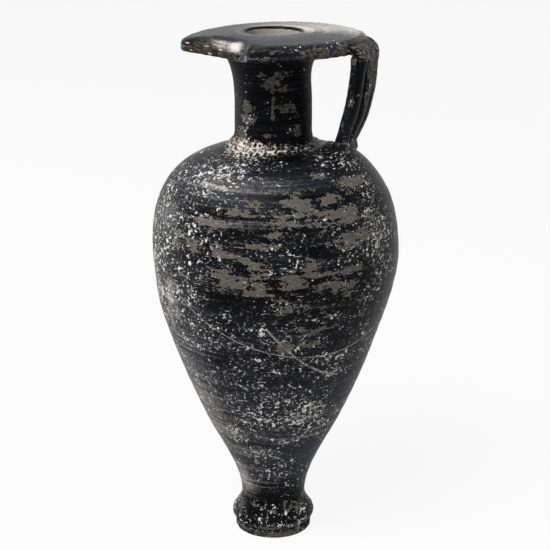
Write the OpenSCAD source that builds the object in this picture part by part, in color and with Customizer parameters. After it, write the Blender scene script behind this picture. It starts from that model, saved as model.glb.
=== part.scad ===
// Small black-slipped oil flask: an ovoid body on a turned foot, a narrow neck,
// a flat mouth disc and a ribbed strap handle from the disc down to the shoulder.
// The axis of the pot is Z, the foot rests on Z = 0 and the handle lies towards +X.

/* [Heights] */
// Height of the foot, from the table up to its seam with the body
foot_h = 10.5; // [9.4:0.1:14]
// Height of the thrown body, from the foot seam up to the flat on its shoulder
body_h = 101.2; // [90:0.2:125]
// Height of the neck that shows, from the shoulder up to the underside of the disc
neck_h = 23.9; // [20:0.1:32]
// Thickness of the mouth disc at the neck
disc_h = 5.1; // [4.2:0.1:7]

/* [Body] */
// Radius of the belly at its widest
belly_r = 33.2; // [28:0.2:40]
// Height of the widest point above the foot seam
belly_rise = 72.2; // [62:0.2:80]
// Radius of the stem where the body meets the foot
stem_r = 8.85; // [8:0.05:10.2]
// Radius of the lower flank where its inward curve turns outward
flank_r = 18.5; // [15:0.1:21]
// Height of that turn above the foot seam
flank_rise = 24; // [20:0.2:30]
// Lean of the flank at that turn, in degrees from upright
flank_lean = 25; // [18:0.5:32]
// Thickness of the thrown wall
wall = 3; // [2.2:0.1:4.5]
// Thickness of the clay floor above the foot seam
floor_t = 5.5; // [3.5:0.1:9]
// Radius of the peg under the body that the foot is fitted to
peg_r = 5; // [3.5:0.1:6.5]
// Length of that peg
peg_h = 2.6; // [1.5:0.1:4]

/* [Foot] */
// Radius of the foot at its bead, where it is widest
bead_r = 11.5; // [10.8:0.1:14]
// Radius of the round edge of the bead
bead_edge_r = 2.1; // [1.4:0.1:2.3]
// Height of the middle of the bead above the table
bead_rise = 4.4; // [4.1:0.1:5]
// Radius of the plain band under the bead
plinth_r = 10.6; // [9.8:0.1:11]
// Height of the plain band under the bead
plinth_h = 2.1; // [1.2:0.1:2.3]
// Radius of the shallow hollow under the foot
hollow_r = 6.4; // [3:0.1:8]
// Depth of the hollow under the foot
hollow_h = 1.3; // [0.5:0.1:2.2]

/* [Neck] */
// Outer radius of the neck
neck_r = 10.2; // [9.6:0.1:12]
// Radius of the passage through the neck
bore_r = 8; // [6:0.1:8.4]
// Outer radius of the neck where it spreads under the disc
flare_r = 13.4; // [12.6:0.1:16]
// Height of the part of the neck that spreads
flare_h = 8.6; // [5:0.1:12]
// Wall of the thin collar that drops into the body
collar_wall = 1.1; // [0.8:0.05:1.5]
// Length of the collar that drops into the body
collar_h = 2.4; // [1.4:0.1:2.8]
// Depth of the rebate in the disc that takes the top of the neck
rebate_h = 0.8; // [0.4:0.1:1.2]

/* [Mouth disc] */
// Radius of the mouth disc
disc_r = 24.2; // [21:0.1:28]
// Radius of the mouth hole
mouth_r = 7.4; // [5.5:0.1:7.8]
// Thickness of the disc at its rim
rim_t = 3.4; // [2.6:0.1:4]
// Fall of the top of the disc from the mouth to the rim
droop = 1; // [0.4:0.1:1.6]
// Rounding of the mouth's upper edge
lip_round = 0.5; // [0.2:0.1:0.9]
// How far the broken edge reaches in from the rim
chip_depth = 7.2; // [2:0.1:7.8]
// Radius of the hollow curve of the broken edge
chip_curve_r = 50; // [30:1:90]
// Direction of the broken edge around the axis, in degrees from the handle
chip_azimuth = 236; // [200:1:290]

/* [Handle] */
// Width of the strap, its three rolls together, at the disc
strap_top_w = 16; // [12:0.1:19]
// Width of the strap where it meets the shoulder
strap_foot_w = 14.4; // [9:0.1:17]
// Thickness of the strap
strap_t = 4.3; // [3.2:0.1:4.8]
// Depth of the grooves between the rolls
groove_h = 1; // [0.4:0.05:1.2]
// How far the disc's rim lies over the top of the strap
rim_lap = 1.65; // [0.8:0.05:2.2]
// Radius of the curl at the top of the strap, where it turns in to the disc
curl_r = 5; // [4:0.1:9]
// Distance below the disc at which the strap begins to bend inward
bend_drop = 0.4; // [0:0.1:5]
// Radius from the axis at which the middle of the strap passes the shoulder flat
strap_foot_r = 19.2; // [18:0.1:20.4]

/* [Luting] */
// Width of the clay ring pressed into the corner between neck and shoulder
neck_ring_w = 1.3; // [0.8:0.1:2]
// Height of that ring
neck_ring_h = 1.2; // [0.8:0.1:2.4]
// Spread of the clay pressed around the foot of the strap
pad_spread = 1.9; // [1:0.1:2.4]
// Height of that clay above the shoulder flat
pad_h = 2; // [1:0.1:4]
// Height of the clay smoothed over the top of the strap
cap_h = 2.1; // [1:0.1:2.4]
// Film of slip between a peg or collar and its socket
slip_film = 0.08; // [0.04:0.01:0.2]

/* [Hidden] */
$fn = 96;

slip_black = [0.13, 0.135, 0.15];
slip_worn = [0.24, 0.23, 0.22];
clay_grey = [0.42, 0.39, 0.36];

// Levels along the axis
seam_z = foot_h;
shoulder_z = seam_z + body_h;
under_z = shoulder_z + neck_h;
top_z = under_z + disc_h;
neck_top_z = under_z + rebate_h;
rim_top_z = top_z - droop;
rim_under_z = rim_top_z - rim_t;

// Seats worked out from the pieces that they hold
collar_r = bore_r + collar_wall;
shoulder_hole_r = collar_r + slip_film;
flat_margin = 0.2;
shoulder_flat_r = neck_r + neck_ring_w + flat_margin;
peg_socket_r = peg_r + slip_film;
peg_socket_h = peg_h + slip_film;

// Steps along long and short curves, and how far a cutter runs past what it cuts
curve_steps = 12;
tight_steps = 6;
past = 1;

function bezier(a, b, c, d, n, first = 0) =
    [for (i = [first : n]) let (t = i / n, s = 1 - t)
        s * s * s * a + 3 * s * s * t * b + 3 * s * t * t * c + t * t * t * d];

function arc(centre, r, from, to, n) =
    [for (i = [0 : n]) let (q = from + (to - from) * i / n)
        centre + r * [cos(q), sin(q)]];

// Unit vector along an outline at point i, from its two neighbours
function along(p, i) =
    let (a = p[max(i - 1, 0)], b = p[min(i + 1, len(p) - 1)]) (b - a) / norm(b - a);

// Outline moved inward by a wall, for an outline that climbs with the pot on its left
function inset(p, by) =
    [for (i = [0 : len(p) - 1]) let (t = along(p, i)) p[i] + by * [-t[1], t[0]]];

// Outside of the body from the foot seam to the edge of the shoulder flat
flank_slope = [sin(flank_lean), cos(flank_lean)];
stem_point = [stem_r, seam_z];
flank_point = [flank_r, seam_z + flank_rise];
belly_point = [belly_r, seam_z + belly_rise];
shoulder_point = [shoulder_flat_r, shoulder_z];
belly_span = belly_rise - flank_rise;
shoulder_span = body_h - belly_rise;

// Shares of each span over which the outline keeps the direction of its end
stem_pull = 0.31;
flank_pull = 0.69;
belly_pull = 0.04;
crown_pull = 0.97;
shoulder_pull = 0.17;
shoulder_lean = 35;

outer_curve = concat(
    bezier(stem_point, stem_point + [0, stem_pull * flank_rise],
           flank_point - stem_pull * flank_rise * flank_slope, flank_point, curve_steps),
    bezier(flank_point, flank_point + flank_pull * belly_span * flank_slope,
           belly_point - [0, belly_pull * belly_span], belly_point, curve_steps, 1),
    bezier(belly_point, belly_point + [0, crown_pull * shoulder_span],
           shoulder_point + shoulder_pull * shoulder_span * [sin(shoulder_lean), -cos(shoulder_lean)],
           shoulder_point, 2 * curve_steps, 1));

// Inside of the body: the outside curve less the wall, from a round floor to the hole
floor_z = seam_z + floor_t;
floor_round_h = 4;
floor_flat_share = 0.6;
ceiling_z = shoulder_z - wall;
ceiling_margin = 0.4;
wall_curve = [for (p = inset(outer_curve, wall))
    if (p[1] > floor_z + floor_round_h && p[1] < ceiling_z - ceiling_margin
        && p[0] > shoulder_hole_r + ceiling_margin) p];
floor_edge = wall_curve[0];
floor_pull = (floor_edge[1] - floor_z) / 2 / (wall_curve[1] - floor_edge)[1];
floor_curve = bezier([0, floor_z], [floor_flat_share * floor_edge[0], floor_z],
                     floor_edge - floor_pull * (wall_curve[1] - floor_edge),
                     floor_edge, tight_steps);

// The outside of the body as a plain solid, used to cut what sits on its shoulder
module body_envelope() {
    rotate_extrude() polygon(concat([[0, seam_z]], outer_curve, [[0, shoulder_z]]));
}

module body() {
    color(slip_black) union() {
        rotate_extrude() polygon(concat(
            outer_curve, [[shoulder_hole_r, shoulder_z], [shoulder_hole_r, ceiling_z]],
            [for (i = [len(wall_curve) - 1 : -1 : 0]) wall_curve[i]],
            [for (i = [tight_steps - 1 : -1 : 0]) floor_curve[i]], [[0, seam_z]]));
        translate([0, 0, seam_z - peg_h]) cylinder(r = peg_r, h = peg_h);
    }
}

// Foot: a plain band, a round bead and a hollow sweep up to the stem
bead_centre = [bead_r - bead_edge_r, bead_rise];
bead_low = -70;
bead_high = 35;
bead_curve = arc(bead_centre, bead_edge_r, bead_low, bead_high, curve_steps);
bead_top = bead_curve[curve_steps];
sweep_span = seam_z - bead_top[1];
plinth_edge = 0.35;
sweep_out_share = 0.19;
sweep_up_share = 0.27;
sweep_stem_share = 0.37;

module foot() {
    color(slip_black) difference() {
        rotate_extrude() polygon(concat(
            [[0, 0], [plinth_r - plinth_edge, 0], [plinth_r, plinth_edge],
             [plinth_r, plinth_h - plinth_edge], [bead_curve[0][0], plinth_h]],
            bead_curve,
            bezier(bead_top, bead_top + sweep_span * [-sweep_out_share, sweep_up_share],
                   [stem_r, seam_z - sweep_stem_share * sweep_span], [stem_r, seam_z], curve_steps, 1),
            [[0, seam_z]]));
        translate([0, 0, seam_z - peg_socket_h])
            cylinder(r = peg_socket_r, h = peg_socket_h + past);
        translate([0, 0, -past]) cylinder(r = hollow_r, h = hollow_h + past);
    }
}

// Neck: a collar in the body, a plain tube and a spread top let into the disc
flare_low_share = 0.45;
flare_high_share = 0.12;
flare_out_share = 0.35;

module neck() {
    color(slip_black) difference() {
        rotate_extrude() polygon(concat(
            [[0, shoulder_z - collar_h], [collar_r, shoulder_z - collar_h],
             [collar_r, shoulder_z], [neck_r, shoulder_z]],
            bezier([neck_r, under_z - flare_h], [neck_r, under_z - flare_low_share * flare_h],
                   [neck_r + flare_out_share * (flare_r - neck_r), under_z - flare_high_share * flare_h],
                   [flare_r, under_z], curve_steps),
            [[flare_r, neck_top_z], [0, neck_top_z]]));
        translate([0, 0, shoulder_z - collar_h - past])
            cylinder(r = bore_r, h = collar_h + neck_h + rebate_h + 2 * past);
    }
}

// Outline of the disc, from the rebate's corner round the rim to the mouth
rim_round = 1.2;
rim_turn = 84;
rim_in_r = disc_r - rim_round;
rebate_r = flare_r + slip_film;
lip_r = mouth_r + lip_round;
disc_outline = concat(
    [[0, neck_top_z], [rebate_r, neck_top_z], [rebate_r, under_z]],
    arc([rim_in_r, rim_under_z + rim_round], rim_round, -90, 0, tight_steps),
    arc([rim_in_r, rim_top_z - rim_round], rim_round, 0, rim_turn, tight_steps),
    [for (i = [1 : tight_steps]) let (r = rim_in_r + (lip_r - rim_in_r) * i / tight_steps)
        [r, top_z - droop * pow((r - lip_r) / (disc_r - lip_r), 2)]],
    [[0, top_z]]);

module disc_envelope() {
    rotate_extrude() polygon(disc_outline);
}

module mouth_disc() {
    chip_centre_r = disc_r - chip_depth + chip_curve_r;
    color(slip_black) difference() {
        disc_envelope();
        translate([0, 0, under_z - past]) cylinder(r = mouth_r, h = disc_h + 2 * past);
        translate([0, 0, top_z - lip_round]) rotate_extrude()
            polygon(concat([[0, 0]], arc([lip_r, 0], lip_round, 180, 90, tight_steps),
                [[lip_r, 2 * lip_round], [0, 2 * lip_round]]));
        rotate([0, 0, chip_azimuth]) translate([chip_centre_r, 0, under_z - past])
            cylinder(r = chip_curve_r, h = disc_h + 2 * past);
    }
}

// Handle: the middle line of the strap as a distance from the axis at each height
strap_x = disc_r - rim_lap + strap_t / 2;
bend_z = under_z - bend_drop;
bend_fall = bend_z - shoulder_z;
bend_in = strap_x - strap_foot_r;
bend_r = (bend_fall * bend_fall + bend_in * bend_in) / (2 * bend_in);
strap_top_z = rim_top_z - cap_h;
root_depth = 5.7;
strap_root_z = shoulder_z - root_depth;
strap_rings = 22;
roll_steps = 8;
open_side_share = 0.12;
pressed_side_share = 1 - 2 * groove_h / strap_t;
pad_depth = 4.5;
pad_edge = 0.5;
pad_slice = 0.1;
cap_side = 0.2;

// Fall of a circle away from its tangent, and its slope, at a distance along the tangent
function circle_fall(r, along) = r - sqrt(r * r - along * along);
function circle_slope(r, along) = along / sqrt(r * r - along * along);

function strap_line(z) =
    z > bend_z ? strap_x - circle_fall(curl_r, z - bend_z)
               : strap_x - circle_fall(bend_r, bend_z - z);
function strap_slope(z) =
    z > bend_z ? -circle_slope(curl_r, z - bend_z) : circle_slope(bend_r, bend_z - z);

// Width of the strap, and of its three rolls together, at a height
function strap_w(z) =
    strap_foot_w + (strap_top_w - strap_foot_w) * (z - shoulder_z) / (strap_top_z - shoulder_z);

// Section of one roll, as shares of its width against half thicknesses: rounded outside
// and inside, flat where it is pressed to a neighbour
function roll_half(low_side, high_side) =
    [for (i = [0 : roll_steps]) let (q = -90 + 180 * i / roll_steps,
        side = q < 0 ? low_side : high_side)
        [sin(q) / 2, side + (1 - side) * cos(q)]];
function roll_section(low_side, high_side) = let (half = roll_half(low_side, high_side))
    concat(half, [for (i = [roll_steps : -1 : 0]) [half[i][0], -half[i][1]]]);

// One roll of the strap; place is -1 for the front, 0 for the middle and 1 for the back.
// Its outer and inner halves are split into triangles as mirror images, so that the faces
// pressed together by two neighbours are the same.
module strap_roll(place) {
    section = roll_section(place < 0 ? open_side_share : pressed_side_share,
                           place > 0 ? open_side_share : pressed_side_share);
    sides = len(section);
    points = [for (k = [0 : strap_rings])
        let (z = strap_root_z + (strap_top_z - strap_root_z) * k / strap_rings,
             tilt = k == strap_rings ? 0 : strap_slope(z),
             out = strap_t / 2 / norm([1, tilt]) * [1, -tilt])
        for (p = section) let (point_z = z + p[1] * out[1])
            [strap_line(z) + p[1] * out[0],
             (place + p[0]) * strap_w(point_z) / 3, point_z]];
    walls = [for (k = [0 : strap_rings - 1], i = [0 : sides - 1])
        let (j = (i + 1) % sides, a = k * sides, b = a + sides)
        each i <= roll_steps ? [[a + i, b + i, b + j], [a + i, b + j, a + j]]
                             : [[a + i, b + i, a + j], [b + i, b + j, a + j]]];
    polyhedron(points, concat(
        [[for (i = [0 : sides - 1]) i]],
        walls,
        [[for (i = [sides - 1 : -1 : 0]) strap_rings * sides + i]]), convexity = 6);
}

module strap_piece(place) {
    difference() {
        strap_roll(place);
        body_envelope();
        disc_envelope();
    }
}

module handle_rib_front() {
    color(slip_black) strap_piece(-1);
}

module handle_rib_middle() {
    color(slip_worn) strap_piece(0);
}

module handle_rib_back() {
    color(slip_black) strap_piece(1);
}

// Ring of clay pressed into the corner between neck and shoulder, hollow on its outside
ring_edge = 0.1;

module neck_luting() {
    color(clay_grey) rotate_extrude() polygon(concat(
        [[neck_r, shoulder_z]],
        [for (i = [0 : tight_steps]) let (q = 90 * i / tight_steps)
            [neck_r + ring_edge + neck_ring_w * (1 - sin(q)),
             shoulder_z + neck_ring_h * (1 - cos(q))]],
        [[neck_r, shoulder_z + neck_ring_h]]));
}

// Clay pressed around the foot of the strap, trimmed to the shoulder and the rolls
module handle_foot_luting() {
    color(clay_grey) difference() {
        hull() {
            pad_slab(shoulder_z - pad_depth, pad_spread);
            pad_slab(shoulder_z + pad_h, pad_edge);
        }
        body_envelope();
        for (place = [-1 : 1]) strap_roll(place);
    }
}

// Thin level slice of the clay around the strap, wider than the strap by a margin all round
module pad_slab(z, margin) {
    half_t = strap_t / 2 * norm([1, strap_slope(z)]);
    for (side = [-1, 1])
        translate([strap_line(z), side * (strap_w(z) / 2 - half_t), z])
            cylinder(r = half_t + margin, h = pad_slice, $fn = 32);
}

// Clay smoothed over the top of the strap, against the edge of the disc
module handle_top_luting() {
    cap_w = strap_top_w - 2 * cap_side;
    cap_reach = strap_line(strap_top_z) + strap_t / 2 - cap_side - rim_in_r;
    cap_rise = cap_h - cap_side;
    color(clay_grey) difference() {
        translate([rim_in_r, cap_w / 2, strap_top_z]) rotate([90, 0, 0])
            linear_extrude(cap_w) polygon(concat([[0, 0]],
                [for (i = [0 : curve_steps]) let (q = 90 * i / curve_steps)
                    [cap_reach * cos(q), cap_rise * sin(q)]]));
        disc_envelope();
    }
}

body();
foot();
neck();
mouth_disc();
handle_rib_front();
handle_rib_middle();
handle_rib_back();
neck_luting();
handle_foot_luting();
handle_top_luting();
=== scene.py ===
"""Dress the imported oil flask: black-slipped clay, worn and chipped, on a pale floor.

Every size is in millimetres in the part's own frame: the pot's axis is Z, the foot rests
on Z = 0 and the handle lies towards +X. Azimuths are in degrees, counted from the handle.
"""
from __future__ import annotations

import logging
import math
from collections.abc import Callable, Iterator, Sequence
from dataclasses import dataclass
from enum import Enum
from functools import partial, reduce

import bmesh
import bpy
import numpy as np
from mathutils import Euler, Matrix, Vector, noise

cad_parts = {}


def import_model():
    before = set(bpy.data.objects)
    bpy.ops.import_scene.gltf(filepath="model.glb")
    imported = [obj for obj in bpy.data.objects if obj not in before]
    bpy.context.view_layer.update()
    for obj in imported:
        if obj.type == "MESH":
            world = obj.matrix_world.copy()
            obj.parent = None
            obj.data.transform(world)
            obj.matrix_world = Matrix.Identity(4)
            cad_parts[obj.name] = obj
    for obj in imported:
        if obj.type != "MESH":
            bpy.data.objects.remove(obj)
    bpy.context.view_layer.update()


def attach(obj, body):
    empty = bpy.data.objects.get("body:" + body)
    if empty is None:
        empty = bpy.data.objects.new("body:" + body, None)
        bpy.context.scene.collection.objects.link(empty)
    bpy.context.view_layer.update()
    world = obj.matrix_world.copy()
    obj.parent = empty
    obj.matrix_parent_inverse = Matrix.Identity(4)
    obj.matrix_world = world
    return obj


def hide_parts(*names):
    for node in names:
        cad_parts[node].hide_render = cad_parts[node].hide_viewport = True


Point = tuple[float, float]
Triple = tuple[float, float, float]
Profile = list[Point]
Colour = Triple
Socket = bpy.types.NodeSocket
Value = bpy.types.NodeSocket | float

MM = 0.001
BODY = "root"
MERGE_MM = 0.0005
SHOULDER = 111.7
DISC_UNDER = 135.6
WHITE = (1.0, 1.0, 1.0, 1.0)
LOG = logging.getLogger("oil_flask")


def bezier(a: Point, b: Point, c: Point, d: Point, steps: int) -> Profile:
    """Points along a cubic curve.

    Args:
        a: Start of the curve.
        b: Handle of the start.
        c: Handle of the end.
        d: End of the curve.
        steps: Number of steps between the points.

    Returns:
        The points, with both ends.
    """
    line = []
    for i in range(steps + 1):
        t = i / steps
        s = 1.0 - t
        weights = (s ** 3, 3 * s * s * t, 3 * s * t * t, t ** 3)
        line.append(tuple(sum(w * p[k] for w, p in zip(weights, (a, b, c, d))) for k in (0, 1)))
    return line


def arc(centre: Point, radius: float, start: float, end: float, steps: int) -> Profile:
    """Points along a circular arc.

    Args:
        centre: Centre of the circle.
        radius: Radius of the circle.
        start: Angle of the first point in degrees.
        end: Angle of the last point in degrees.
        steps: Number of steps between the points.

    Returns:
        The points, with both ends.
    """
    turns = [math.radians(start + (end - start) * i / steps) for i in range(steps + 1)]
    return [(centre[0] + radius * math.cos(q), centre[1] + radius * math.sin(q)) for q in turns]


def respaced(line: Profile, spacing: float) -> Profile:
    """Points at even distances along a line, with both of its ends.

    Args:
        line: The line to follow.
        spacing: Rough distance between the new points.

    Returns:
        The evenly spaced points.
    """
    marks = [0.0]
    for a, b in zip(line, line[1:]):
        marks.append(marks[-1] + math.dist(a, b))
    count = max(1, round(marks[-1] / spacing))
    wanted = np.linspace(0.0, marks[-1], count + 1)
    across = np.interp(wanted, marks, [p[0] for p in line])
    up = np.interp(wanted, marks, [p[1] for p in line])
    return [(float(r), float(z)) for r, z in zip(across, up)]


def smoothstep(low: float, high: float, value: float) -> float:
    """Share from 0 at low to 1 at high, with an easy start and end."""
    t = min(1.0, max(0.0, (value - low) / (high - low)))
    return t * t * (3.0 - 2.0 * t)


def between(value: float, rise: Point, fall: Point) -> float:
    """Share that rises from 0 to 1 over one span and falls back over another."""
    return smoothstep(*rise, value) * (1.0 - smoothstep(*fall, value))


def bell(value: float, middle: float, half_width: float) -> float:
    """Share that is 1 at a middle value and fades to both sides."""
    return math.exp(-((value - middle) / half_width) ** 2)


def grit(x: float, y: float, z: float, scale: float) -> float:
    """Smooth noise from -1 to 1 at a place, with a scale in lumps per millimetre."""
    return noise.noise(Vector((x * scale, y * scale, z * scale)))


def turned_by(azimuth: float, home: float) -> float:
    """Signed angle in degrees from a home azimuth, between -180 and 180."""
    return (azimuth - home + 180.0) % 360.0 - 180.0


def level_out(azimuth: float) -> Vector:
    """Level direction away from the axis at an azimuth."""
    turn = math.radians(azimuth)
    return Vector((math.cos(turn), math.sin(turn), 0.0))


@dataclass(frozen=True)
class Spot:
    """One point of a turned shell, as it lies before it is moved.

    Attributes:
        vert: The point itself.
        x: Its distance along X.
        y: Its distance along Y.
        z: Its height.
        radius: Its distance from the pot's axis.
    """

    vert: bmesh.types.BMVert
    x: float
    y: float
    z: float
    radius: float

    @property
    def azimuth(self) -> float:
        """Direction of the point in degrees."""
        return math.degrees(math.atan2(self.y, self.x))

    @property
    def out(self) -> Vector:
        """Level direction from the axis to the point."""
        return Vector((self.x / self.radius, self.y / self.radius, 0.0))


def spots(bm: bmesh.types.BMesh, inner: float) -> Iterator[Spot]:
    """Walk over the points of a shell that lie outside an inner radius.

    Args:
        bm: The shell.
        inner: The inner radius.

    Returns:
        The points, one after the other.
    """
    for vert in bm.verts:
        x, y, z = vert.co
        radius = math.hypot(x, y)
        if radius >= inner:
            yield Spot(vert, x, y, z, radius)


@dataclass(frozen=True)
class Places:
    """Where the points of a mesh lie around the pot.

    Attributes:
        x: Distances along X.
        y: Distances along Y.
        height: Distances along Z.
    """

    x: np.ndarray
    y: np.ndarray
    height: np.ndarray

    @property
    def radius(self) -> np.ndarray:
        """Distances from the pot's axis."""
        return np.hypot(self.x, self.y)

    def turn(self, home: float) -> np.ndarray:
        """Signed angles in degrees from a home azimuth."""
        return (np.degrees(np.arctan2(self.y, self.x)) - home + 180.0) % 360.0 - 180.0

    def near(self, home: float, half_width: float) -> np.ndarray:
        """Share that is 1 at a home azimuth and fades to both sides."""
        return np.exp(-(self.turn(home) / half_width) ** 2)

    def ease(self, low: float, high: float, value: np.ndarray) -> np.ndarray:
        """Share from 0 at low to 1 at high for each value."""
        t = np.clip((value - low) / (high - low), 0.0, 1.0)
        return t * t * (3.0 - 2.0 * t)


@dataclass(frozen=True)
class Patch:
    """Oval patch on a turned wall, strongest in its middle and a half at its edge.

    Attributes:
        azimuth: Direction of its middle.
        height: Height of its middle.
        half_width: Half of its width around the wall.
        half_height: Half of its height.
        weight: Strength in its middle.
    """

    azimuth: float
    height: float
    half_width: float
    half_height: float
    weight: float = 1.0

    def strength(self, at: Places) -> np.ndarray:
        """Strength of the patch at each place.

        Args:
            at: The places on the mesh.

        Returns:
            The strengths.
        """
        across = np.radians(at.turn(self.azimuth)) * at.radius / self.half_width
        up = (at.height - self.height) / self.half_height
        return self.weight * np.clip(1.0 - 0.5 * np.hypot(across, up), 0.0, 1.0)


@dataclass(frozen=True)
class Stroke:
    """Scratch or smear that runs through a few places on a turned wall.

    Attributes:
        places: Azimuth and height of each place that it runs through.
        half_width: Half of its width.
        weight: Strength along its middle.
    """

    places: tuple[Point, ...]
    half_width: float
    weight: float = 1.0

    def strength(self, at: Places) -> np.ndarray:
        """Strength of the stroke at each place.

        Args:
            at: The places on the mesh.

        Returns:
            One number from 0 to 1 for each place.
        """
        best = np.zeros_like(at.height)
        for (azimuth, height), (next_azimuth, next_height) in zip(self.places, self.places[1:]):
            across = np.radians(at.turn(azimuth)) * at.radius
            up = at.height - height
            run = math.radians(turned_by(next_azimuth, azimuth)) * at.radius
            rise = next_height - height
            share = np.clip((across * run + up * rise) / (run * run + rise * rise), 0.0, 1.0)
            away = np.hypot(across - share * run, up - share * rise)
            best = np.maximum(best, 1.0 - 0.5 * away / self.half_width)
        return self.weight * np.clip(best, 0.0, 1.0)


Marks = tuple[Patch | Stroke, ...]
Painter = Callable[[Places], np.ndarray]


def strongest(marks: Marks, at: Places) -> np.ndarray:
    """Strength of the strongest mark at each place.

    Args:
        marks: The patches and strokes.
        at: The places on the mesh.

    Returns:
        One number from 0 to 1 for each place.
    """
    best = np.zeros_like(at.height)
    for mark in marks:
        best = np.maximum(best, mark.strength(at))
    return best


def marked(marks: Marks) -> Painter:
    """Painter of the strongest of some marks."""
    return lambda at: strongest(marks, at)


def evenly(share: float) -> Painter:
    """Painter of the same share everywhere."""
    return lambda at: np.full_like(at.height, share)


class Layer(Enum):
    """What a painted layer says about the surface under it."""

    WORN = "worn"
    CRUST = "crust"
    RUBBED = "rubbed"
    BARE = "bare"
    BROKEN = "broken"
    # Painted sheen above 0 and painted shade below 0, laid into the slip's grey.
    PAINTED_LIGHT = "painted_light"
    # Dust, and painted sheen laid in the dust's pale colour.
    DUST_AND_SHEEN = "dust_and_sheen"


class Grain(Enum):
    """Direction of the fine lines that the potter's hand left."""

    WHEEL = "wheel"
    PULLED = "pulled"
    PRESSED = "pressed"


class Bench:
    """Node bench for one material, with places on the piece in millimetres."""

    def __init__(self, name: str) -> None:
        """Start an empty material with an output and a shader.

        Args:
            name: Name of the material.
        """
        self.material = bpy.data.materials.new(name)
        self.material.use_nodes = True
        self.tree = self.material.node_tree
        self.tree.nodes.clear()
        self.output = self.tree.nodes.new("ShaderNodeOutputMaterial")
        self.shader = self.tree.nodes.new("ShaderNodeBsdfPrincipled")
        self.tree.links.new(self.shader.outputs["BSDF"], self.output.inputs["Surface"])

    def feed(self, socket: Socket, value: Value | Sequence[float]) -> None:
        """Link a socket to another, or give it a fixed value.

        Args:
            socket: The socket to feed.
            value: Where it is linked to, or its value.
        """
        if isinstance(value, bpy.types.NodeSocket):
            self.tree.links.new(value, socket)
        else:
            socket.default_value = value

    def made(self, kind: str, output: str | int, inputs: dict[str | int, Value | Sequence[float]],
             **settings: str) -> Socket:
        """Make a node.

        Args:
            kind: Kind of the node, without its usual first word.
            output: Name or number of the output that is wanted.
            inputs: What feeds each input, by its name or number.
            settings: Options of the node.

        Returns:
            The output.
        """
        node = self.tree.nodes.new("ShaderNode" + kind)
        for name, setting in settings.items():
            setattr(node, name, setting)
        for name, value in inputs.items():
            self.feed(node.inputs[name], value)
        return node.outputs[output]

    def place_in_mm(self) -> Socket:
        """Place on the piece in millimetres."""
        metres = self.made("TexCoord", "Object", {})
        return self.made("VectorMath", "Vector", {0: metres, "Scale": 1.0 / MM}, operation="SCALE")

    def math(self, operation: str, a: Value, b: Value = 0.0, c: Value = 0.0) -> Socket:
        """Result of one arithmetic operation on up to three values."""
        return self.made("Math", "Value", {0: a, 1: b, 2: c}, operation=operation)

    def times(self, *values: Value) -> Socket:
        """Product of some values."""
        return reduce(partial(self.math, "MULTIPLY"), values)

    def times_plus(self, value: Value, factor: Value, base: Value) -> Socket:
        """Value times a factor, plus a base."""
        return self.math("MULTIPLY_ADD", value, factor, base)

    def swung(self, swing: Socket, middle: float, reach: float, base: Value) -> Socket:
        """Base raised and lowered by a noise.

        Args:
            swing: The noise.
            middle: Value of the noise that leaves the base as it is.
            reach: How strongly the noise acts.
            base: The base.

        Returns:
            The changed base.
        """
        return self.times_plus(self.math("SUBTRACT", swing, middle), reach, base)

    def most(self, *values: Value) -> Socket:
        """Largest of some values."""
        return reduce(partial(self.math, "MAXIMUM"), values)

    def step(self, value: Value, low: Value, high: Value) -> Socket:
        """Share from 0 at low to 1 at high, with an easy start and end."""
        return self.made("MapRange", "Result", {"Value": value, "From Min": low, "From Max": high},
                         interpolation_type="SMOOTHSTEP")

    def mapped(self, vector: Socket, scale: Triple, turn: Triple = (0.0, 0.0, 0.0)) -> Socket:
        """Vector turned and scaled.

        Args:
            vector: The vector.
            scale: Scale along each axis.
            turn: Turn about each axis in degrees.

        Returns:
            The new vector.
        """
        turned = tuple(math.radians(angle) for angle in turn)
        return self.made("Mapping", "Vector",
                         {"Vector": vector, "Scale": scale, "Rotation": turned})

    def split(self, vector: Socket) -> tuple[Socket, Socket, Socket]:
        """The three parts of a vector."""
        node = self.tree.nodes.new("ShaderNodeSeparateXYZ")
        self.feed(node.inputs["Vector"], vector)
        return node.outputs["X"], node.outputs["Y"], node.outputs["Z"]

    def joined(self, x: Value, y: Value, z: Value) -> Socket:
        """A vector made of three values."""
        return self.made("CombineXYZ", "Vector", {0: x, 1: y, 2: z})

    def reach(self, x: Socket, y: Socket) -> Socket:
        """Distance from the axis."""
        return self.math("SQRT", self.times_plus(x, x, self.times(y, y)))

    def along(self, place: Socket, axis: Vector, offset: float) -> Socket:
        """Distance of a place along an axis, less an offset."""
        run = self.made("VectorMath", "Value", {0: place, 1: tuple(axis)}, operation="DOT_PRODUCT")
        return self.math("SUBTRACT", run, offset)

    def noise(self, vector: Socket, scale: float, detail: float = 3.0,
              rough: float = 0.5) -> Socket:
        """Cloudy noise around 0.5.

        Args:
            vector: Where to read it.
            scale: Lumps per millimetre.
            detail: Number of finer layers.
            rough: Strength of the finer layers.

        Returns:
            The noise.
        """
        return self.made("TexNoise", "Fac", {"Vector": vector, "Scale": scale, "Detail": detail,
                                             "Roughness": rough})

    def stirred(self, vector: Socket, scale: float, reach: float) -> Socket:
        """Vector moved about by noise, so that round dots turn into crooked ones.

        Args:
            vector: The vector.
            scale: Lumps per millimetre.
            reach: How far it moves.

        Returns:
            The new vector.
        """
        move = self.made("TexNoise", "Color", {"Vector": vector, "Scale": scale, "Detail": 2.0})
        return self.made("VectorMath", "Vector", {0: move, 1: (2.0 * reach,) * 3, 2: vector},
                         operation="MULTIPLY_ADD")

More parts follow.
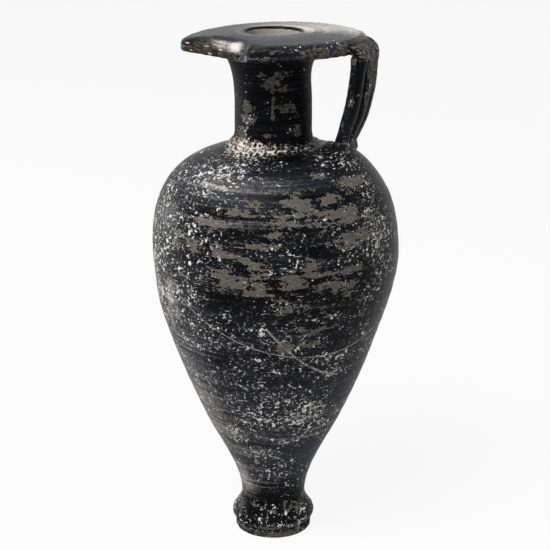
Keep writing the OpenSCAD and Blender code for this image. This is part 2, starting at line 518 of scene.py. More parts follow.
    def dots(self, vector: Socket, scale: float, size: float, share: Value,
             flat: bool = False) -> Socket:
        """Scattered dots of uneven size.

        Args:
            vector: Where to read them.
            scale: Dots per millimetre if every one is kept.
            size: Size of the largest dot as a share of the spacing.
            share: Share of the dots that is kept.
            flat: Whether the vector is a flat map of the surface.

        Returns:
            1 on a dot and 0 between them.
        """
        smallest, soft_edge = 0.3, 0.07
        node = self.tree.nodes.new("ShaderNodeTexVoronoi")
        node.voronoi_dimensions = "2D" if flat else "3D"
        self.feed(node.inputs["Vector"], vector)
        self.feed(node.inputs["Scale"], scale)
        red, green, _ = self.split(node.outputs["Color"])
        grown = self.times_plus(self.math("POWER", red, 2.0), (1.0 - smallest) * size,
                                smallest * size)
        inside = self.step(self.math("SUBTRACT", grown, node.outputs["Distance"]), 0.0, soft_edge)
        return self.times(inside, self.math("LESS_THAN", green, share))

    def layer(self, layer: Layer) -> Socket:
        """Strength of a painted layer."""
        return self.made("Attribute", "Fac", {}, attribute_name=layer.value)

    def mix(self, share: Value, a: Socket | Colour, b: Socket | Colour) -> Socket:
        """Mix of two colours.

        Args:
            share: Share of the second colour.
            a: First colour.
            b: Second colour.

        Returns:
            The mixed colour.
        """
        first, second = (c if isinstance(c, bpy.types.NodeSocket) else (*c, 1.0) for c in (a, b))
        return self.made("Mix", 2, {"Factor": share, 6: first, 7: second}, data_type="RGBA")

    def blend(self, share: Value, a: Value, b: Value) -> Socket:
        """Mix of two numbers, by the share of the second."""
        return self.made("Mix", 0, {"Factor": share, 2: a, 3: b}, data_type="FLOAT")

    def relief(self, height: Socket) -> None:
        """Give the shader a bump from a height in millimetres."""
        bump = self.made("Bump", "Normal", {"Distance": MM, "Strength": 1.0, "Height": height})
        self.feed(self.shader.inputs["Normal"], bump)


@dataclass(frozen=True)
class LongScratch:
    """Long thin scratch that lies in one plane cut through the pot.

    Attributes:
        start: Azimuth, height and radius where it starts.
        middle: Azimuth, height and radius of a place between its ends.
        end: Azimuth, height and radius where it ends.
        half_width: Half of its width.
        weight: Strength of its colour.
        tail: Length over which each end fades.
    """

    start: Triple
    middle: Triple
    end: Triple
    half_width: float
    weight: float
    tail: float = 2.0

    def strength(self, bench: Bench, place: Socket, broken: Socket) -> Socket:
        """Strength of the scratch in a material.

        Args:
            bench: The material's bench.
            place: Place on the piece in millimetres.
            broken: Noise that breaks the scratch up.

        Returns:
            Its strength on the scratch and 0 beside it.
        """
        a, b, c = (radius * level_out(azimuth) + Vector((0.0, 0.0, height))
                   for azimuth, height, radius in (self.start, self.middle, self.end))
        normal = (b - a).cross(c - a).normalized()
        chord = (c - a).normalized()
        length = (c - a).length
        off = bench.math("ABSOLUTE", bench.along(place, normal, normal.dot(a)))
        along = bench.along(place, chord, chord.dot(a))
        front = bench.along(place, Vector((b.x, b.y, 0.0)).normalized(), 0.0)
        return bench.times(
            bench.step(off, 1.5 * self.half_width, 0.5 * self.half_width),
            bench.step(along, 0.0, self.tail), bench.step(along, length, length - self.tail),
            bench.step(front, 3.0, 6.0), bench.step(broken, 0.38, 0.5), self.weight)


@dataclass(frozen=True)
class SlipFinish:
    """Black slip on fired clay, with hand lines, flakes, pale specks, scratches, dirt, and painted
    sheen and shade.

    A span is the part of a noise over which its layer sets in. Depths are in millimetres.

    Attributes:
        name: Name of the material.
        grain: Direction of the hand lines.
        line_depth: Depth of the hand lines.
        specks: Share of the pale specks that is kept everywhere.
        scuffs: Share of the fine grey scuffs that is kept everywhere.
        tone: Brightness of the slip; the disc's is raised as painted light on its lit top and the
            neck's lowered as painted shade under the disc.
        gloss: Roughness of the slip where it is black.
        shine: Strength of its reflections.
        unrolled: Whether scratches follow the turned wall.
        scratches: Long scratches of their own.
        bared: How much of the clay shows where the slip stops.
    """

    name: str
    grain: Grain = Grain.WHEEL
    line_depth: float = 0.012
    specks: float = 0.12
    scuffs: float = -0.2
    tone: float = 1.0
    gloss: float = 0.32
    shine: float = 0.04
    unrolled: bool = True
    scratches: tuple[LongScratch, ...] = ()
    bared: float = 1.0
    matt: float = 0.88
    grey_and_sheen_span: Point = (1.02, 1.62)
    flake_span: Point = (0.58, 0.61)
    flake_rim_span: Point = (0.74, 0.62)
    bare_span: Point = (0.46, 0.54)
    torn_span: Point = (0.45, 0.55)
    crust_span: Point = (0.50, 0.60)
    dust_and_sheen_span: Point = (0.12, 1.0)
    grain_depth: float = 0.025
    flake_depth: float = 0.10
    speck_depth: float = 0.04
    crust_height: float = 0.16
    torn_depth: float = 0.5
    slip_dark: Colour = (0.0016, 0.0018, 0.0026)
    slip_grey: Colour = (0.0280, 0.0303, 0.0375)
    worn_deep: Colour = (0.085, 0.076, 0.066)
    worn_pale: Colour = (0.168, 0.151, 0.133)
    scuff: Colour = (0.150, 0.145, 0.140)
    chalk: Colour = (0.840, 0.828, 0.795)
    cream: Colour = (0.760, 0.710, 0.630)
    rust: Colour = (0.330, 0.210, 0.110)
    clay_dark: Colour = (0.115, 0.092, 0.072)
    clay_pale: Colour = (0.340, 0.290, 0.240)
    break_dark: Colour = (0.012, 0.011, 0.010)
    break_pale: Colour = (0.120, 0.106, 0.086)
    # Pale colour of the dust, also used for painted sheen and painted highlights.
    dust: Colour = (0.620, 0.590, 0.560)
    straw: Colour = (0.860, 0.730, 0.420)

    def material(self) -> bpy.types.Material:
        """The finished material, ready for a piece."""
        return SlipBench(self).lay()


class SlipBench(Bench):
    """Bench on which a slip finish is laid, from the black slip up to the dust and the painted sheen.
    """

    def __init__(self, finish: SlipFinish) -> None:
        """Read the noises that several layers share.

        Args:
            finish: The finish to lay.
        """
        super().__init__(finish.name)
        self.finish = finish
        self.place = self.place_in_mm()
        self.lines = self.hand_lines()
        self.cloud = self.noise(self.mapped(self.place, (1.0, 1.0, 2.0)), 0.085, 5.0, 0.65)
        self.grain = self.noise(self.place, 2.6, 4.0, 0.65)
        self.rubbed = self.layer(Layer.RUBBED)

    def hand_lines(self) -> Socket:
        """Fine lines left by the wheel or the hand.

        Returns:
            Noise around 0.5 that runs along the lines.
        """
        x, y, z = self.split(self.place)
        if self.finish.grain is Grain.PULLED:
            return self.noise(self.joined(x, y, self.times(z, 0.07)), 1.3, 3.0)
        if self.finish.grain is Grain.PRESSED:
            return self.noise(self.place, 0.9, 4.0)
        drift = self.times(self.math("ADD", x, y), 0.022)
        return self.noise(self.joined(self.reach(x, y), z, drift), 1.15, 3.0, 0.6)

    def unrolled(self) -> Socket:
        """Flat map of the surface for scratches.

        Returns:
            The map, in millimetres on the belly's wall.
        """
        if not self.finish.unrolled:
            return self.place
        seam_at_back = (0.0, 0.0, 71.0)
        crown_share = -0.45
        mean_radius = 27.0
        x, y, z = self.split(self.mapped(self.place, (1.0, 1.0, 1.0), seam_at_back))
        around = self.times(self.math("ARCTAN2", y, x), mean_radius)
        return self.joined(around, self.times_plus(self.reach(x, y), crown_share, z), 0.0)

    def curls(self, place: Socket, scale: float, half_width: float, kept: Socket) -> Socket:
        """Short crooked marks, cut out of the level lines of a noise.

        Args:
            place: Where to read them.
            scale: Bends per millimetre.
            half_width: Half of a mark's width in millimetres.
            kept: Strength of the rubbing; more of it keeps more marks.

        Returns:
            1 on a mark and 0 between them.
        """
        edge = half_width * 0.75 * scale
        line = self.math("ABSOLUTE", self.math("SUBTRACT", self.noise(place, scale, 1.0), 0.5))
        drawn = self.step(line, 1.5 * edge, 0.5 * edge)
        elsewhere = self.mapped(place, (1.0, 1.0, 1.0), (31.0, 0.0, 57.0))
        cut = self.noise(elsewhere, 0.85 * scale, 1.0)
        left = self.step(self.times_plus(kept, 0.20, cut), 0.69, 0.71)
        return self.times(drawn, left, self.step(kept, 0.02, 0.14))

    def marks(self) -> Socket:
        """Pale specks, curls and short scratches, clustered by the cloud.

        Returns:
            1 on a mark and 0 between them.
        """
        place, finish = self.place, self.finish
        dense = self.swung(self.cloud, 0.52, 2.0, self.times_plus(self.rubbed, 0.8, finish.specks))
        few = self.times(dense, 0.30)
        thin = self.times_plus(dense, 0.30, 0.02)
        flat = self.unrolled()
        bent = self.stirred(flat, 0.4, 0.35)
        tipped = self.mapped(place, (1.0, 1.0, 1.3), (90.0, 0.0, 0.0))
        found = [
            self.dots(self.stirred(place, 1.1, 0.8), 0.90, 0.35, few),
            self.dots(self.stirred(place, 2.6, 0.3), 1.7, 0.42, few),
            self.curls(place, 0.62, 0.10, dense),
            self.curls(tipped, 1.25, 0.07, dense),
        ]
        steep = (bent, (3.0, 0.26, 1.0), 38.0, 0.24)
        falling = (bent, (0.28, 3.2, 1.0), 33.0, 0.24)
        level = (flat, (0.17, 3.0, 1.0), -9.0, 0.22)
        for ground, stretch, turn, size in (steep, falling, level):
            drawn = self.mapped(ground, stretch, (0.0, 0.0, turn))
            found.append(self.dots(drawn, 1.0, size, thin, finish.unrolled))
        return self.most(*found)

    def greying_and_painted_light(self) -> Socket:
        """How grey the black slip looks: random mottling, with painted sheen and painted shade from
        their layer.

        Returns:
            0 where it is black and 1 where it is grey.
        """
        mottle = self.noise(self.mapped(self.place, (1.0, 1.0, 1.7)), 0.9, 6.0, 0.75)
        tones = self.times_plus(mottle, 0.9, self.times(self.cloud, 0.7))
        tones = self.times_plus(self.lines, 0.7, tones)
        # the painted light layer greys the slip as painted sheen and keeps it black as painted shade
        tones = self.times_plus(self.layer(Layer.PAINTED_LIGHT), 0.45, tones)
        return self.step(tones, *self.finish.grey_and_sheen_span)

    def wear(self) -> Socket:
        """How far the slip has flaked off; above a half it is gone.

        Returns:
            The wear, ragged at every edge.
        """
        ragged = self.noise(self.mapped(self.place, (0.62, 0.62, 1.35)), 0.36, 3.0, 0.6)
        fringe = self.noise(self.mapped(self.place, (0.85, 0.85, 1.7)), 0.95, 5.0, 0.7)
        wear = self.swung(ragged, 0.5, 1.9, self.layer(Layer.WORN))
        wear = self.swung(self.lines, 0.5, 1.3, wear)
        return self.swung(fringe, 0.5, 2.7, wear)

    def scuffed(self, colour: Socket) -> Socket:
        """Draw the fine grey scuffs over the slip.

        Args:
            colour: Colour so far.

        Returns:
            The new colour.
        """
        often = self.times_plus(self.rubbed, 0.5, self.finish.scuffs)
        broad = self.mapped(self.place, (0.9, 0.9, 1.2), (0.0, 35.0, -35.0))
        fine = self.mapped(self.place, (1.0, 1.0, 1.0), (0.0, 20.0, 20.0))
        drawn = self.most(self.curls(broad, 1.0, 0.10, often), self.curls(fine, 2.1, 0.06, often))
        return self.mix(self.times(drawn, 0.7), colour, self.finish.scuff)

    def flaked(self, colour: Socket) -> tuple[Socket, Socket]:
        """Flake the slip off and show the worn clay under it, with a pale rim.

        Args:
            colour: Colour so far.

        Returns:
            Where the slip is gone, and the new colour.
        """
        finish, wear = self.finish, self.wear()
        gone = self.step(wear, *finish.flake_span)
        rim = self.times(gone, self.step(wear, *finish.flake_rim_span))
        worn = self.mix(self.step(self.grain, 0.35, 0.7), finish.worn_deep, finish.worn_pale)
        worn = self.mix(self.times(rim, 0.28), worn, finish.chalk)
        return gone, self.mix(gone, colour, worn)

    def chalked(self, gone: Socket, colour: Socket) -> tuple[Socket, Socket]:
        """Draw the pale specks and scratches, faint where the slip is gone.

        Args:
            gone: Where the slip is gone.
            colour: Colour so far.

        Returns:
            Where the marks are, and the new colour.
        """
        drawn = self.most(self.marks(), *(scratch.strength(self, self.place, self.grain)
                                          for scratch in self.finish.scratches))
        drawn = self.times(drawn, self.times_plus(gone, -0.75, 1.0))
        spread = self.step(self.noise(self.place, 0.7, 2.0), 0.30, 0.52)
        chalk = self.mix(spread, self.finish.worn_pale, self.finish.chalk)
        return drawn, self.mix(drawn, colour, chalk)

    def stripped(self, colour: Socket) -> tuple[Socket, Socket]:
        """Show the bare clay where the slip was never laid.

        Args:
            colour: Colour so far.

        Returns:
            Where the clay is bare, and the new colour.
        """
        finish = self.finish
        edge = self.noise(self.mapped(self.place, (0.55, 0.55, 1.25)), 0.42, 7.0, 0.62)
        bare = self.step(self.swung(edge, 0.5, 0.8, self.layer(Layer.BARE)), *finish.bare_span)
        pale = self.step(self.times_plus(self.grain, 0.5, self.cloud), 0.5, 1.0)
        clay = self.mix(pale, finish.clay_dark, finish.clay_pale)
        return bare, self.mix(self.times(bare, finish.bared), colour, clay)

    def torn(self, colour: Socket) -> tuple[Socket, Socket]:
        """Show the layered clay of the break, with its straw flecks.

        Args:
            colour: Colour so far.

        Returns:
            Where the clay is broken, and the new colour.
        """
        finish = self.finish
        layered = self.noise(self.mapped(self.place, (0.45, 0.45, 2.4)), 1.1, 4.0, 0.65)
        crushed = self.mix(self.step(layered, 0.42, 0.68), finish.break_dark, finish.break_pale)
        thin = self.stirred(self.mapped(self.place, (0.4, 0.4, 2.4)), 1.2, 0.5)
        crushed = self.mix(self.dots(thin, 0.70, 0.42, 0.36), crushed, finish.straw)
        broken = self.step(self.layer(Layer.BROKEN), *finish.torn_span)
        return broken, self.mix(broken, colour, crushed)

    def crusted(self, colour: Socket) -> tuple[Socket, Socket]:
        """Lay the lime crust, then the dust and the painted sheen, over everything.

        Args:
            colour: Colour so far.

        Returns:
            Where the crust is, and the new colour.
        """
        finish = self.finish
        crumbs = self.noise(self.place, 1.25, 6.0, 0.7)
        crust = self.step(self.swung(crumbs, 0.5, 2.6, self.layer(Layer.CRUST)), *finish.crust_span)
        stain = self.step(self.noise(self.place, 0.5, 2.0), 0.56, 0.66)
        colour = self.mix(crust, colour, self.mix(stain, finish.cream, finish.rust))
        streaks = self.times_plus(self.lines, 0.8, crumbs)
        # the dust layer also lays painted sheen, pale where the lamps' reflections fall
        dust_and_sheen_share = self.swung(streaks, 0.9, 1.0, self.layer(Layer.DUST_AND_SHEEN))
        return crust, self.mix(self.step(dust_and_sheen_share, *finish.dust_and_sheen_span), colour, finish.dust)

    def lay(self) -> bpy.types.Material:
        """Lay the finish, from the slip up to the dust and the painted sheen.

        Returns:
            The material, ready for a piece.
        """
        finish, grey_and_painted_light = self.finish, self.greying_and_painted_light()
        black, grey = (tuple(finish.tone * part for part in shade)
                       for shade in (finish.slip_dark, finish.slip_grey))
        # grey slip where it is mottled, and where sheen is painted on
        colour = self.scuffed(self.mix(grey_and_painted_light, black, grey))
        gone, colour = self.flaked(colour)
        chalk, colour = self.chalked(gone, colour)
        bare, colour = self.stripped(colour)
        broken, colour = self.torn(colour)
        crust, colour = self.crusted(colour)
        self.feed(self.shader.inputs["Base Color"], colour)

        matt = self.most(gone, chalk, crust, bare, broken)
        gloss = self.times_plus(grey_and_painted_light, 0.18, finish.gloss)
        self.feed(self.shader.inputs["Roughness"], self.blend(matt, gloss, finish.matt))
        self.shader.inputs["Specular IOR Level"].default_value = finish.shine

        height = self.times(self.lines, 10.0 * finish.line_depth)
        height = self.times_plus(self.grain, finish.grain_depth, height)
        height = self.times_plus(gone, -finish.flake_depth, height)
        height = self.times_plus(chalk, -finish.speck_depth, height)
        height = self.times_plus(crust, finish.crust_height, height)
        self.relief(self.times_plus(self.times(broken, self.grain), finish.torn_depth, height))
        return self.material


def spun(profile: Profile, steps: int, closed: bool) -> bmesh.types.BMesh:
    """Turn a profile about the pot's axis.

    Args:
        profile: Radius and height of each point.
        steps: Number of steps around the axis.
        closed: Whether the last point joins the first, as on a ring.

    Returns:
        The closed shell; seated turns its faces outward.
    """
    bm = bmesh.new()
    verts = [bm.verts.new((radius, 0.0, height)) for radius, height in profile]
    edges = [bm.edges.new(pair) for pair in zip(verts, verts[1:])]
    if closed:
        edges.append(bm.edges.new((verts[-1], verts[0])))
    bmesh.ops.spin(bm, geom=verts + edges, cent=(0.0, 0.0, 0.0), axis=(0.0, 0.0, 1.0),
                   dvec=(0.0, 0.0, 0.0), angle=math.tau, steps=steps, use_merge=True,
                   use_normal_flip=False, use_duplicate=False)
    bmesh.ops.remove_doubles(bm, verts=bm.verts, dist=MERGE_MM)
    return bm


def bar(sides: int, rings: int) -> bmesh.types.BMesh:
    """Straight round bar along Z, from 0 to 1, of radius 1, ready to be shaped.

    Args:
        sides: Number of points around it.
        rings: Number of steps along it.

    Returns:
        The closed bar.
    """
    bm = bmesh.new()
    bmesh.ops.create_circle(bm, cap_ends=False, segments=sides, radius=1.0)
    bmesh.ops.spin(bm, geom=list(bm.verts) + list(bm.edges), cent=(0.0, 0.0, 0.0),
                   axis=(0.0, 0.0, 1.0), dvec=(0.0, 0.0, 1.0 / rings), angle=0.0, steps=rings,
                   use_merge=False, use_normal_flip=False, use_duplicate=False)
    bmesh.ops.holes_fill(bm, edges=bm.edges, sides=0)
    return bm


def face_outward(bm: bmesh.types.BMesh) -> None:
    """Turn the faces of a closed shell outward.

    Args:
        bm: The shell.
    """
    bmesh.ops.recalc_face_normals(bm, faces=bm.faces)
    if bm.calc_volume(signed=True) < 0.0:
        for face in bm.faces:
            face.normal_flip()


def seated(bm: bmesh.types.BMesh, node: str, finish: SlipFinish,
           layers: dict[Layer, Painter]) -> bpy.types.Object:
    """Turn a shape into a dressed piece that stands for a node.

    Args:
        bm: The shape in millimetres; it is freed.
        node: Node that the piece stands for.
        finish: Finish of the piece.
        layers: What is painted on the piece.

    Returns:
        The piece.
    """
    mesh = bpy.data.meshes.new(node + "_skin")
    face_outward(bm)
    bm.to_mesh(mesh)
    bm.free()
    points = np.empty(3 * len(mesh.vertices), dtype=np.float32)
    mesh.vertices.foreach_get("co", points)
    points = points.reshape(-1, 3).astype(float)
    at = Places(points[:, 0], points[:, 1], points[:, 2])
    for layer, strength in layers.items():
        painted = mesh.attributes.new(layer.value, "FLOAT", "POINT")
        painted.data.foreach_set("value", strength(at).astype(np.float32))
    mesh.transform(Matrix.Scale(MM, 4))
    mesh.polygons.foreach_set("use_smooth", [True] * len(mesh.polygons))
    mesh.materials.append(finish.material())
    mesh.update()
    piece = bpy.data.objects.new(node + "_clay", mesh)
    bpy.context.scene.collection.objects.link(piece)
    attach(piece, BODY)
    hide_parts(node)
    LOG.info("%s: %d points, %d faces", piece.name, len(mesh.vertices), len(mesh.polygons))
    return piece


@dataclass
class Body:
    """Thrown body with its chamber, its stem and its open shoulder."""

    seam: float = 10.5
    shoulder: float = SHOULDER
    stem_r: float = 8.85
    flank_r: float = 18.5
    flank_rise: float = 24.0
    flank_lean: float = 25.0
    belly_r: float = 33.2
    belly_rise: float = 72.2
    flat_r: float = 11.7
    hole_r: float = 9.18
    wall: float = 3.0
    floor: float = 5.5
    peg_r: float = 5.0
    peg_h: float = 2.6
    pulls: tuple[float, ...] = (0.31, 0.69, 0.04, 0.97, 0.17)
    shoulder_lean: float = 35.0
    steps: int = 240
    spacing: float = 0.5
    lean_azimuth: float = 19.0
    lean: float = 0.45
    belly_lean: float = 0.3
    belly_fullness: float = 0.25
    shoulder_swell: float = 0.7
    ridge_depth: float = 0.022
    ridges_per_mm: float = 1.5
    wave: float = 0.16
    fine_wave: float = 0.05
    mound_azimuth: float = 4.0
    mound_spread: float = 27.0
    mound_h: float = 2.3
    belly_rub: float = 0.12
    crust_most: float = 0.6

    worn: Marks = (
        Patch(299.5, 102.2, 2.7, 1.6), Patch(319, 102.0, 3.3, 1.3), Patch(321, 98.0, 6.8, 1.8),
        Patch(305, 100.3, 3.5, 1.6), Patch(278.5, 101.8, 3.5, 1.3, 0.8),
        Patch(274.5, 99.5, 4.2, 1.4, 0.8), Patch(297.5, 97.6, 7.8, 1.2),
        Patch(258, 96.3, 5.4, 1.6), Patch(340.5, 97.0, 3.4, 1.2), Patch(329, 92.3, 5.4, 1.8),
        Patch(239, 90.7, 1.6, 2.0), Patch(250, 90.0, 1.8, 1.4), Patch(264.5, 90.2, 2.0, 1.9),
        Stroke(((264.5, 90.0), (275, 88.4), (284, 87.6)), 0.7), Patch(280, 86.3, 2.3, 3.0),
        Patch(270.5, 82.2, 5.4, 2.0), Patch(267.5, 85.2, 2.0, 1.9), Patch(283, 80.9, 3.1, 2.1),
        Patch(297.5, 82.4, 3.6, 2.3), Patch(304.5, 86.4, 1.6, 2.1),
        Stroke(((305, 85.0), (316, 84.2), (330, 84.8)), 0.6), Patch(314, 81.8, 4.2, 2.1),
        Patch(326, 79.2, 2.0, 1.6), Patch(284, 92.2, 5.6, 1.4, 0.7),
        Patch(291, 95.3, 3.3, 1.2, 0.8), Patch(294.5, 75.9, 4.3, 1.9, 0.6),
        Patch(317, 74.0, 3.5, 1.6, 0.6), Patch(306, 68.8, 7.0, 1.7, 0.6),
        Patch(308, 64.5, 4.0, 1.5, 0.8), Patch(295.5, 64.1, 1.9, 1.4),
        Patch(339, 105.0, 3.5, 1.0), Patch(333.5, 103.2, 2.3, 0.8),
        Patch(234, 77.9, 2.1, 2.7, 0.8), Patch(318, 106.8, 2.0, 0.7, 0.7),
        Patch(306, 99.2, 19.0, 4.2, 0.30), Patch(262, 97.0, 11.0, 3.2, 0.3),
        Patch(296, 82.0, 24.0, 5.0, 0.22), Patch(300, 71.0, 16.0, 7.0, 0.24),
        Patch(345, 88.0, 10.0, 12.0, 0.3), Patch(60, 96.0, 26.0, 5.0, 0.34),
        Patch(130, 84.0, 24.0, 6.0, 0.3), Patch(190, 92.0, 16.0, 6.0, 0.3),
        Patch(20, 98.0, 6.0, 1.6), Patch(48, 93.0, 5.0, 1.8), Patch(75, 99.0, 6.0, 1.5),
        Patch(110, 90.0, 5.0, 2.0), Patch(140, 96.0, 6.0, 1.4), Patch(175, 86.0, 4.0, 2.2),
        Patch(205, 94.0, 4.5, 1.6), Patch(30, 82.0, 4.0, 1.8), Patch(95, 80.0, 5.0, 2.0),
        Patch(150, 76.0, 4.0, 1.6), Patch(5, 73.0, 4.0, 1.5, 0.7), Patch(190, 102.0, 3.0, 1.2),
    )
    rubbed: Marks = (
        Patch(231, 84.0, 12.0, 16.0, 0.7), Patch(218, 80.0, 6.0, 20.0, 1.1),
        Patch(262, 66.0, 14.0, 6.0, 0.4), Patch(315, 40.5, 8.0, 4.5, 1.1),
        Patch(272.5, 27.5, 4.0, 2.0, 1.2), Patch(256, 33.5, 2.4, 2.8, 1.3),
        Patch(345, 93.0, 7.0, 12.0, 0.7), Patch(246, 107.0, 9.0, 2.6, 0.9),
        Patch(300, 60.0, 12.0, 5.0, 0.45), Patch(60, 88.0, 14.0, 12.0, 0.8),
        Patch(130, 70.0, 14.0, 10.0, 0.7), Patch(170, 100.0, 12.0, 6.0, 0.7),
        Patch(90, 45.0, 10.0, 6.0, 0.7), Patch(285, 44.0, 20.0, 9.0, 0.5),
        Patch(262, 50.0, 10.0, 12.0, 0.45), Patch(300, 22.0, 9.0, 5.0, 0.4),
        Patch(325, 58.0, 12.0, 8.0, 0.4), Patch(200, 55.0, 20.0, 14.0, 0.4),
        Patch(60, 60.0, 20.0, 12.0, 0.4),
    )
    # Painted sheen: the slip is painted grey where the lamps are reflected on the shoulder and the left
    # and lower flanks.
    painted_light: Marks = (
        Patch(270.0, 105.6, 17.0, 1.6, 1.2), Patch(250.0, 102.5, 12.0, 1.4),
        Patch(238.0, 58.0, 8.0, 22.0, 0.9), Patch(300.0, 33.0, 14.0, 6.0, 0.8),
        Patch(255.0, 45.0, 10.0, 8.0, 0.8), Patch(240.0, 106.0, 10.0, 3.0),
        Patch(320.0, 50.0, 8.0, 7.0, 0.6), Patch(90.0, 104.0, 22.0, 2.0),
        Patch(150.0, 60.0, 16.0, 14.0, 0.8), Patch(285.0, 46.0, 36.0, 16.0, 0.55),
        Patch(290.0, 26.0, 20.0, 4.0, 1.0), Patch(290.0, 20.0, 14.0, 2.0, 0.9),
        Patch(105.0, 46.0, 36.0, 16.0, 0.5),
    )
    # Dust patches, and painted sheen laid pale: the highlight band on the shoulder and the sheen down
    # the left flank.
    dust_and_sheen: Marks = (
        Patch(260.0, 104.2, 15.0, 2.2, 0.37), Patch(262.0, 103.4, 8.0, 1.3, 0.30),
        Patch(231.0, 74.0, 2.2, 5.0, 0.62), Patch(228.0, 66.0, 1.6, 5.0, 0.5),
        Patch(236.0, 70.5, 1.2, 2.4, 0.62), Patch(243.0, 60.0, 3.0, 6.0, 0.25),
        Stroke(((243, 104.9), (262, 104.4)), 0.35, 0.8), Patch(50.0, 70.0, 3.0, 6.0, 0.5),
        Patch(232.0, 42.0, 10.0, 22.0, 0.46), Patch(234.0, 17.0, 4.0, 6.0, 0.60),
        Patch(272.0, 97.0, 15.0, 1.6, 0.3), Patch(290.0, 34.0, 16.0, 3.0, 0.22),
    )
    scratches: tuple[LongScratch, ...] = (
        LongScratch((237.5, 76.4, 32.6), (292.5, 61.8, 29.1), (357.0, 65.5, 30.2), 0.13, 0.5),
        LongScratch((284.5, 70.8, 31.5), (305.5, 58.8, 28.2), (329.0, 53.2, 26.3), 0.22, 0.45),
    )

    def outline(self) -> Profile:
        """Outside of the wall from the foot seam to the edge of the shoulder flat.

        Returns:
            Radius and height of each point.
        """
        slope, lean = ((math.sin(math.radians(angle)), math.cos(math.radians(angle)))
                       for angle in (self.flank_lean, self.shoulder_lean))
        flank_low, flank_high, belly_low, belly_high, crown_in = self.pulls
        low = flank_low * self.flank_rise
        belly_span = self.belly_rise - self.flank_rise
        high = flank_high * belly_span
        crown_span = self.shoulder - self.seam - self.belly_rise
        crown = crown_in * crown_span
        flank = (self.flank_r, self.seam + self.flank_rise)
        belly = (self.belly_r, self.seam + self.belly_rise)
        foot = bezier((self.stem_r, self.seam), (self.stem_r, self.seam + low),
                      (flank[0] - low * slope[0], flank[1] - low * slope[1]), flank, 60)
        middle = bezier(flank, (flank[0] + high * slope[0], flank[1] + high * slope[1]),
                        (belly[0], belly[1] - belly_low * belly_span), belly, 60)
        top = bezier(belly, (belly[0], belly[1] + belly_high * crown_span),
                     (self.flat_r + crown * lean[0], self.shoulder - crown * lean[1]),
                     (self.flat_r, self.shoulder), 80)
        return foot + middle[1:] + top[1:]

    def lining(self, outside: Profile) -> Profile:
        """Inside of the wall from the shoulder hole down to the middle of the floor.

        Args:
            outside: The outline of the wall.

        Returns:
            Radius and height of each point, from the top down.
        """
        bowl_h, lid_gap, hole_gap = 4.0, 0.4, 0.4
        floor = self.seam + self.floor
        ceiling = self.shoulder - self.wall
        inside = []
        for a, b, c in zip(outside, outside[1:], outside[2:]):
            run, rise = c[0] - a[0], c[1] - a[1]
            length = math.hypot(run, rise)
            spot = (b[0] - self.wall * rise / length, b[1] + self.wall * run / length)
            if floor + bowl_h < spot[1] < ceiling - lid_gap and spot[0] > self.hole_r + hole_gap:
                inside.append(spot)
        bowl = bezier((0.0, floor), (0.6 * inside[0][0], floor),
                      (inside[0][0] - 0.8, inside[0][1] - 1.9), inside[0], 12)
        return [(self.hole_r, ceiling)] + inside[::-1] + bowl[-2::-1]

    def settle(self, bm: bmesh.types.BMesh) -> None:
        """Give the turned shell the small unevenness of a pot thrown by hand.

        Args:
            bm: The turned shell.
        """
        lean = level_out(self.lean_azimuth)
        for spot in spots(bm, inner=1.0):
            x, y, z = spot.x, spot.y, spot.z
            side = spot.out.dot(lean)
            upper = between(z, (60.0, 78.0), (107.0, 111.0))
            free = between(z, (12.0, 18.0), (109.5, 111.0))
            sag = self.lean + self.belly_lean * bell(z, 80.0, 8.0)
            phase = z * self.ridges_per_mm + 0.5 * grit(x, y, 0.0, 0.02)
            swell = self.ridge_depth * math.sin(phase)
            swell += self.wave * grit(x, y, z, 0.035) + self.fine_wave * grit(x, y, z, 0.16)
            swell += self.belly_fullness * bell(z, 69.0, 7.0) * abs(side)
            full_side = self.shoulder_swell * max(0.0, side)
            swell += full_side * between(z, (101.0, 108.0), (109.0, 111.5))
            mound = bell(turned_by(spot.azimuth, self.mound_azimuth), 0.0, self.mound_spread)
            mound *= between(spot.radius, (11.8, 15.0), (19.5, 27.0)) * smoothstep(98.0, 102.0, z)
            spot.vert.co.z += self.mound_h * mound
            spot.vert.co += spot.out * (free * swell) + lean * (sag * upper)

    def crust(self, at: Places) -> np.ndarray:
        """Lime dirt on the shoulder, thickest at the join and on the left.

        Args:
            at: The places on the body.

        Returns:
            Strength of the crust at each place.
        """
        reach = 1.6 + 10.0 * at.near(248.0, 24.0) + 2.6 * at.near(285.0, 16.0)
        close = 1.0 - (at.radius - self.flat_r) / reach
        crust = np.clip(0.62 * close, 0.0, self.crust_most)
        return np.where(at.height > self.shoulder - 11.7, crust, 0.0)

    def inside(self, at: Places) -> np.ndarray:
        """Bare clay on the walls of the chamber.

        Args:
            at: The places on the body.

        Returns:
            1 in the chamber and 0 outside.
        """
        outside = self.outline()
        wall = np.interp(at.height, [p[1] for p in outside], [p[0] for p in outside])
        in_wall = at.radius < wall - 1.6
        in_height = (at.height > self.seam + 1.0) & (at.height < self.shoulder - 0.6)
        return np.where(in_wall & in_height, 1.0, 0.0)

    def rub(self, at: Places) -> np.ndarray:
        """Rubbing on the flanks and over the whole belly.

        Args:
            at: The places on the body.

        Returns:
            Strength of the rubbing at each place.
        """
        belly = at.ease(45.0, 62.0, at.height) * (1.0 - at.ease(96.0, 102.0, at.height))
        return np.maximum(strongest(self.rubbed, at), self.belly_rub * belly)

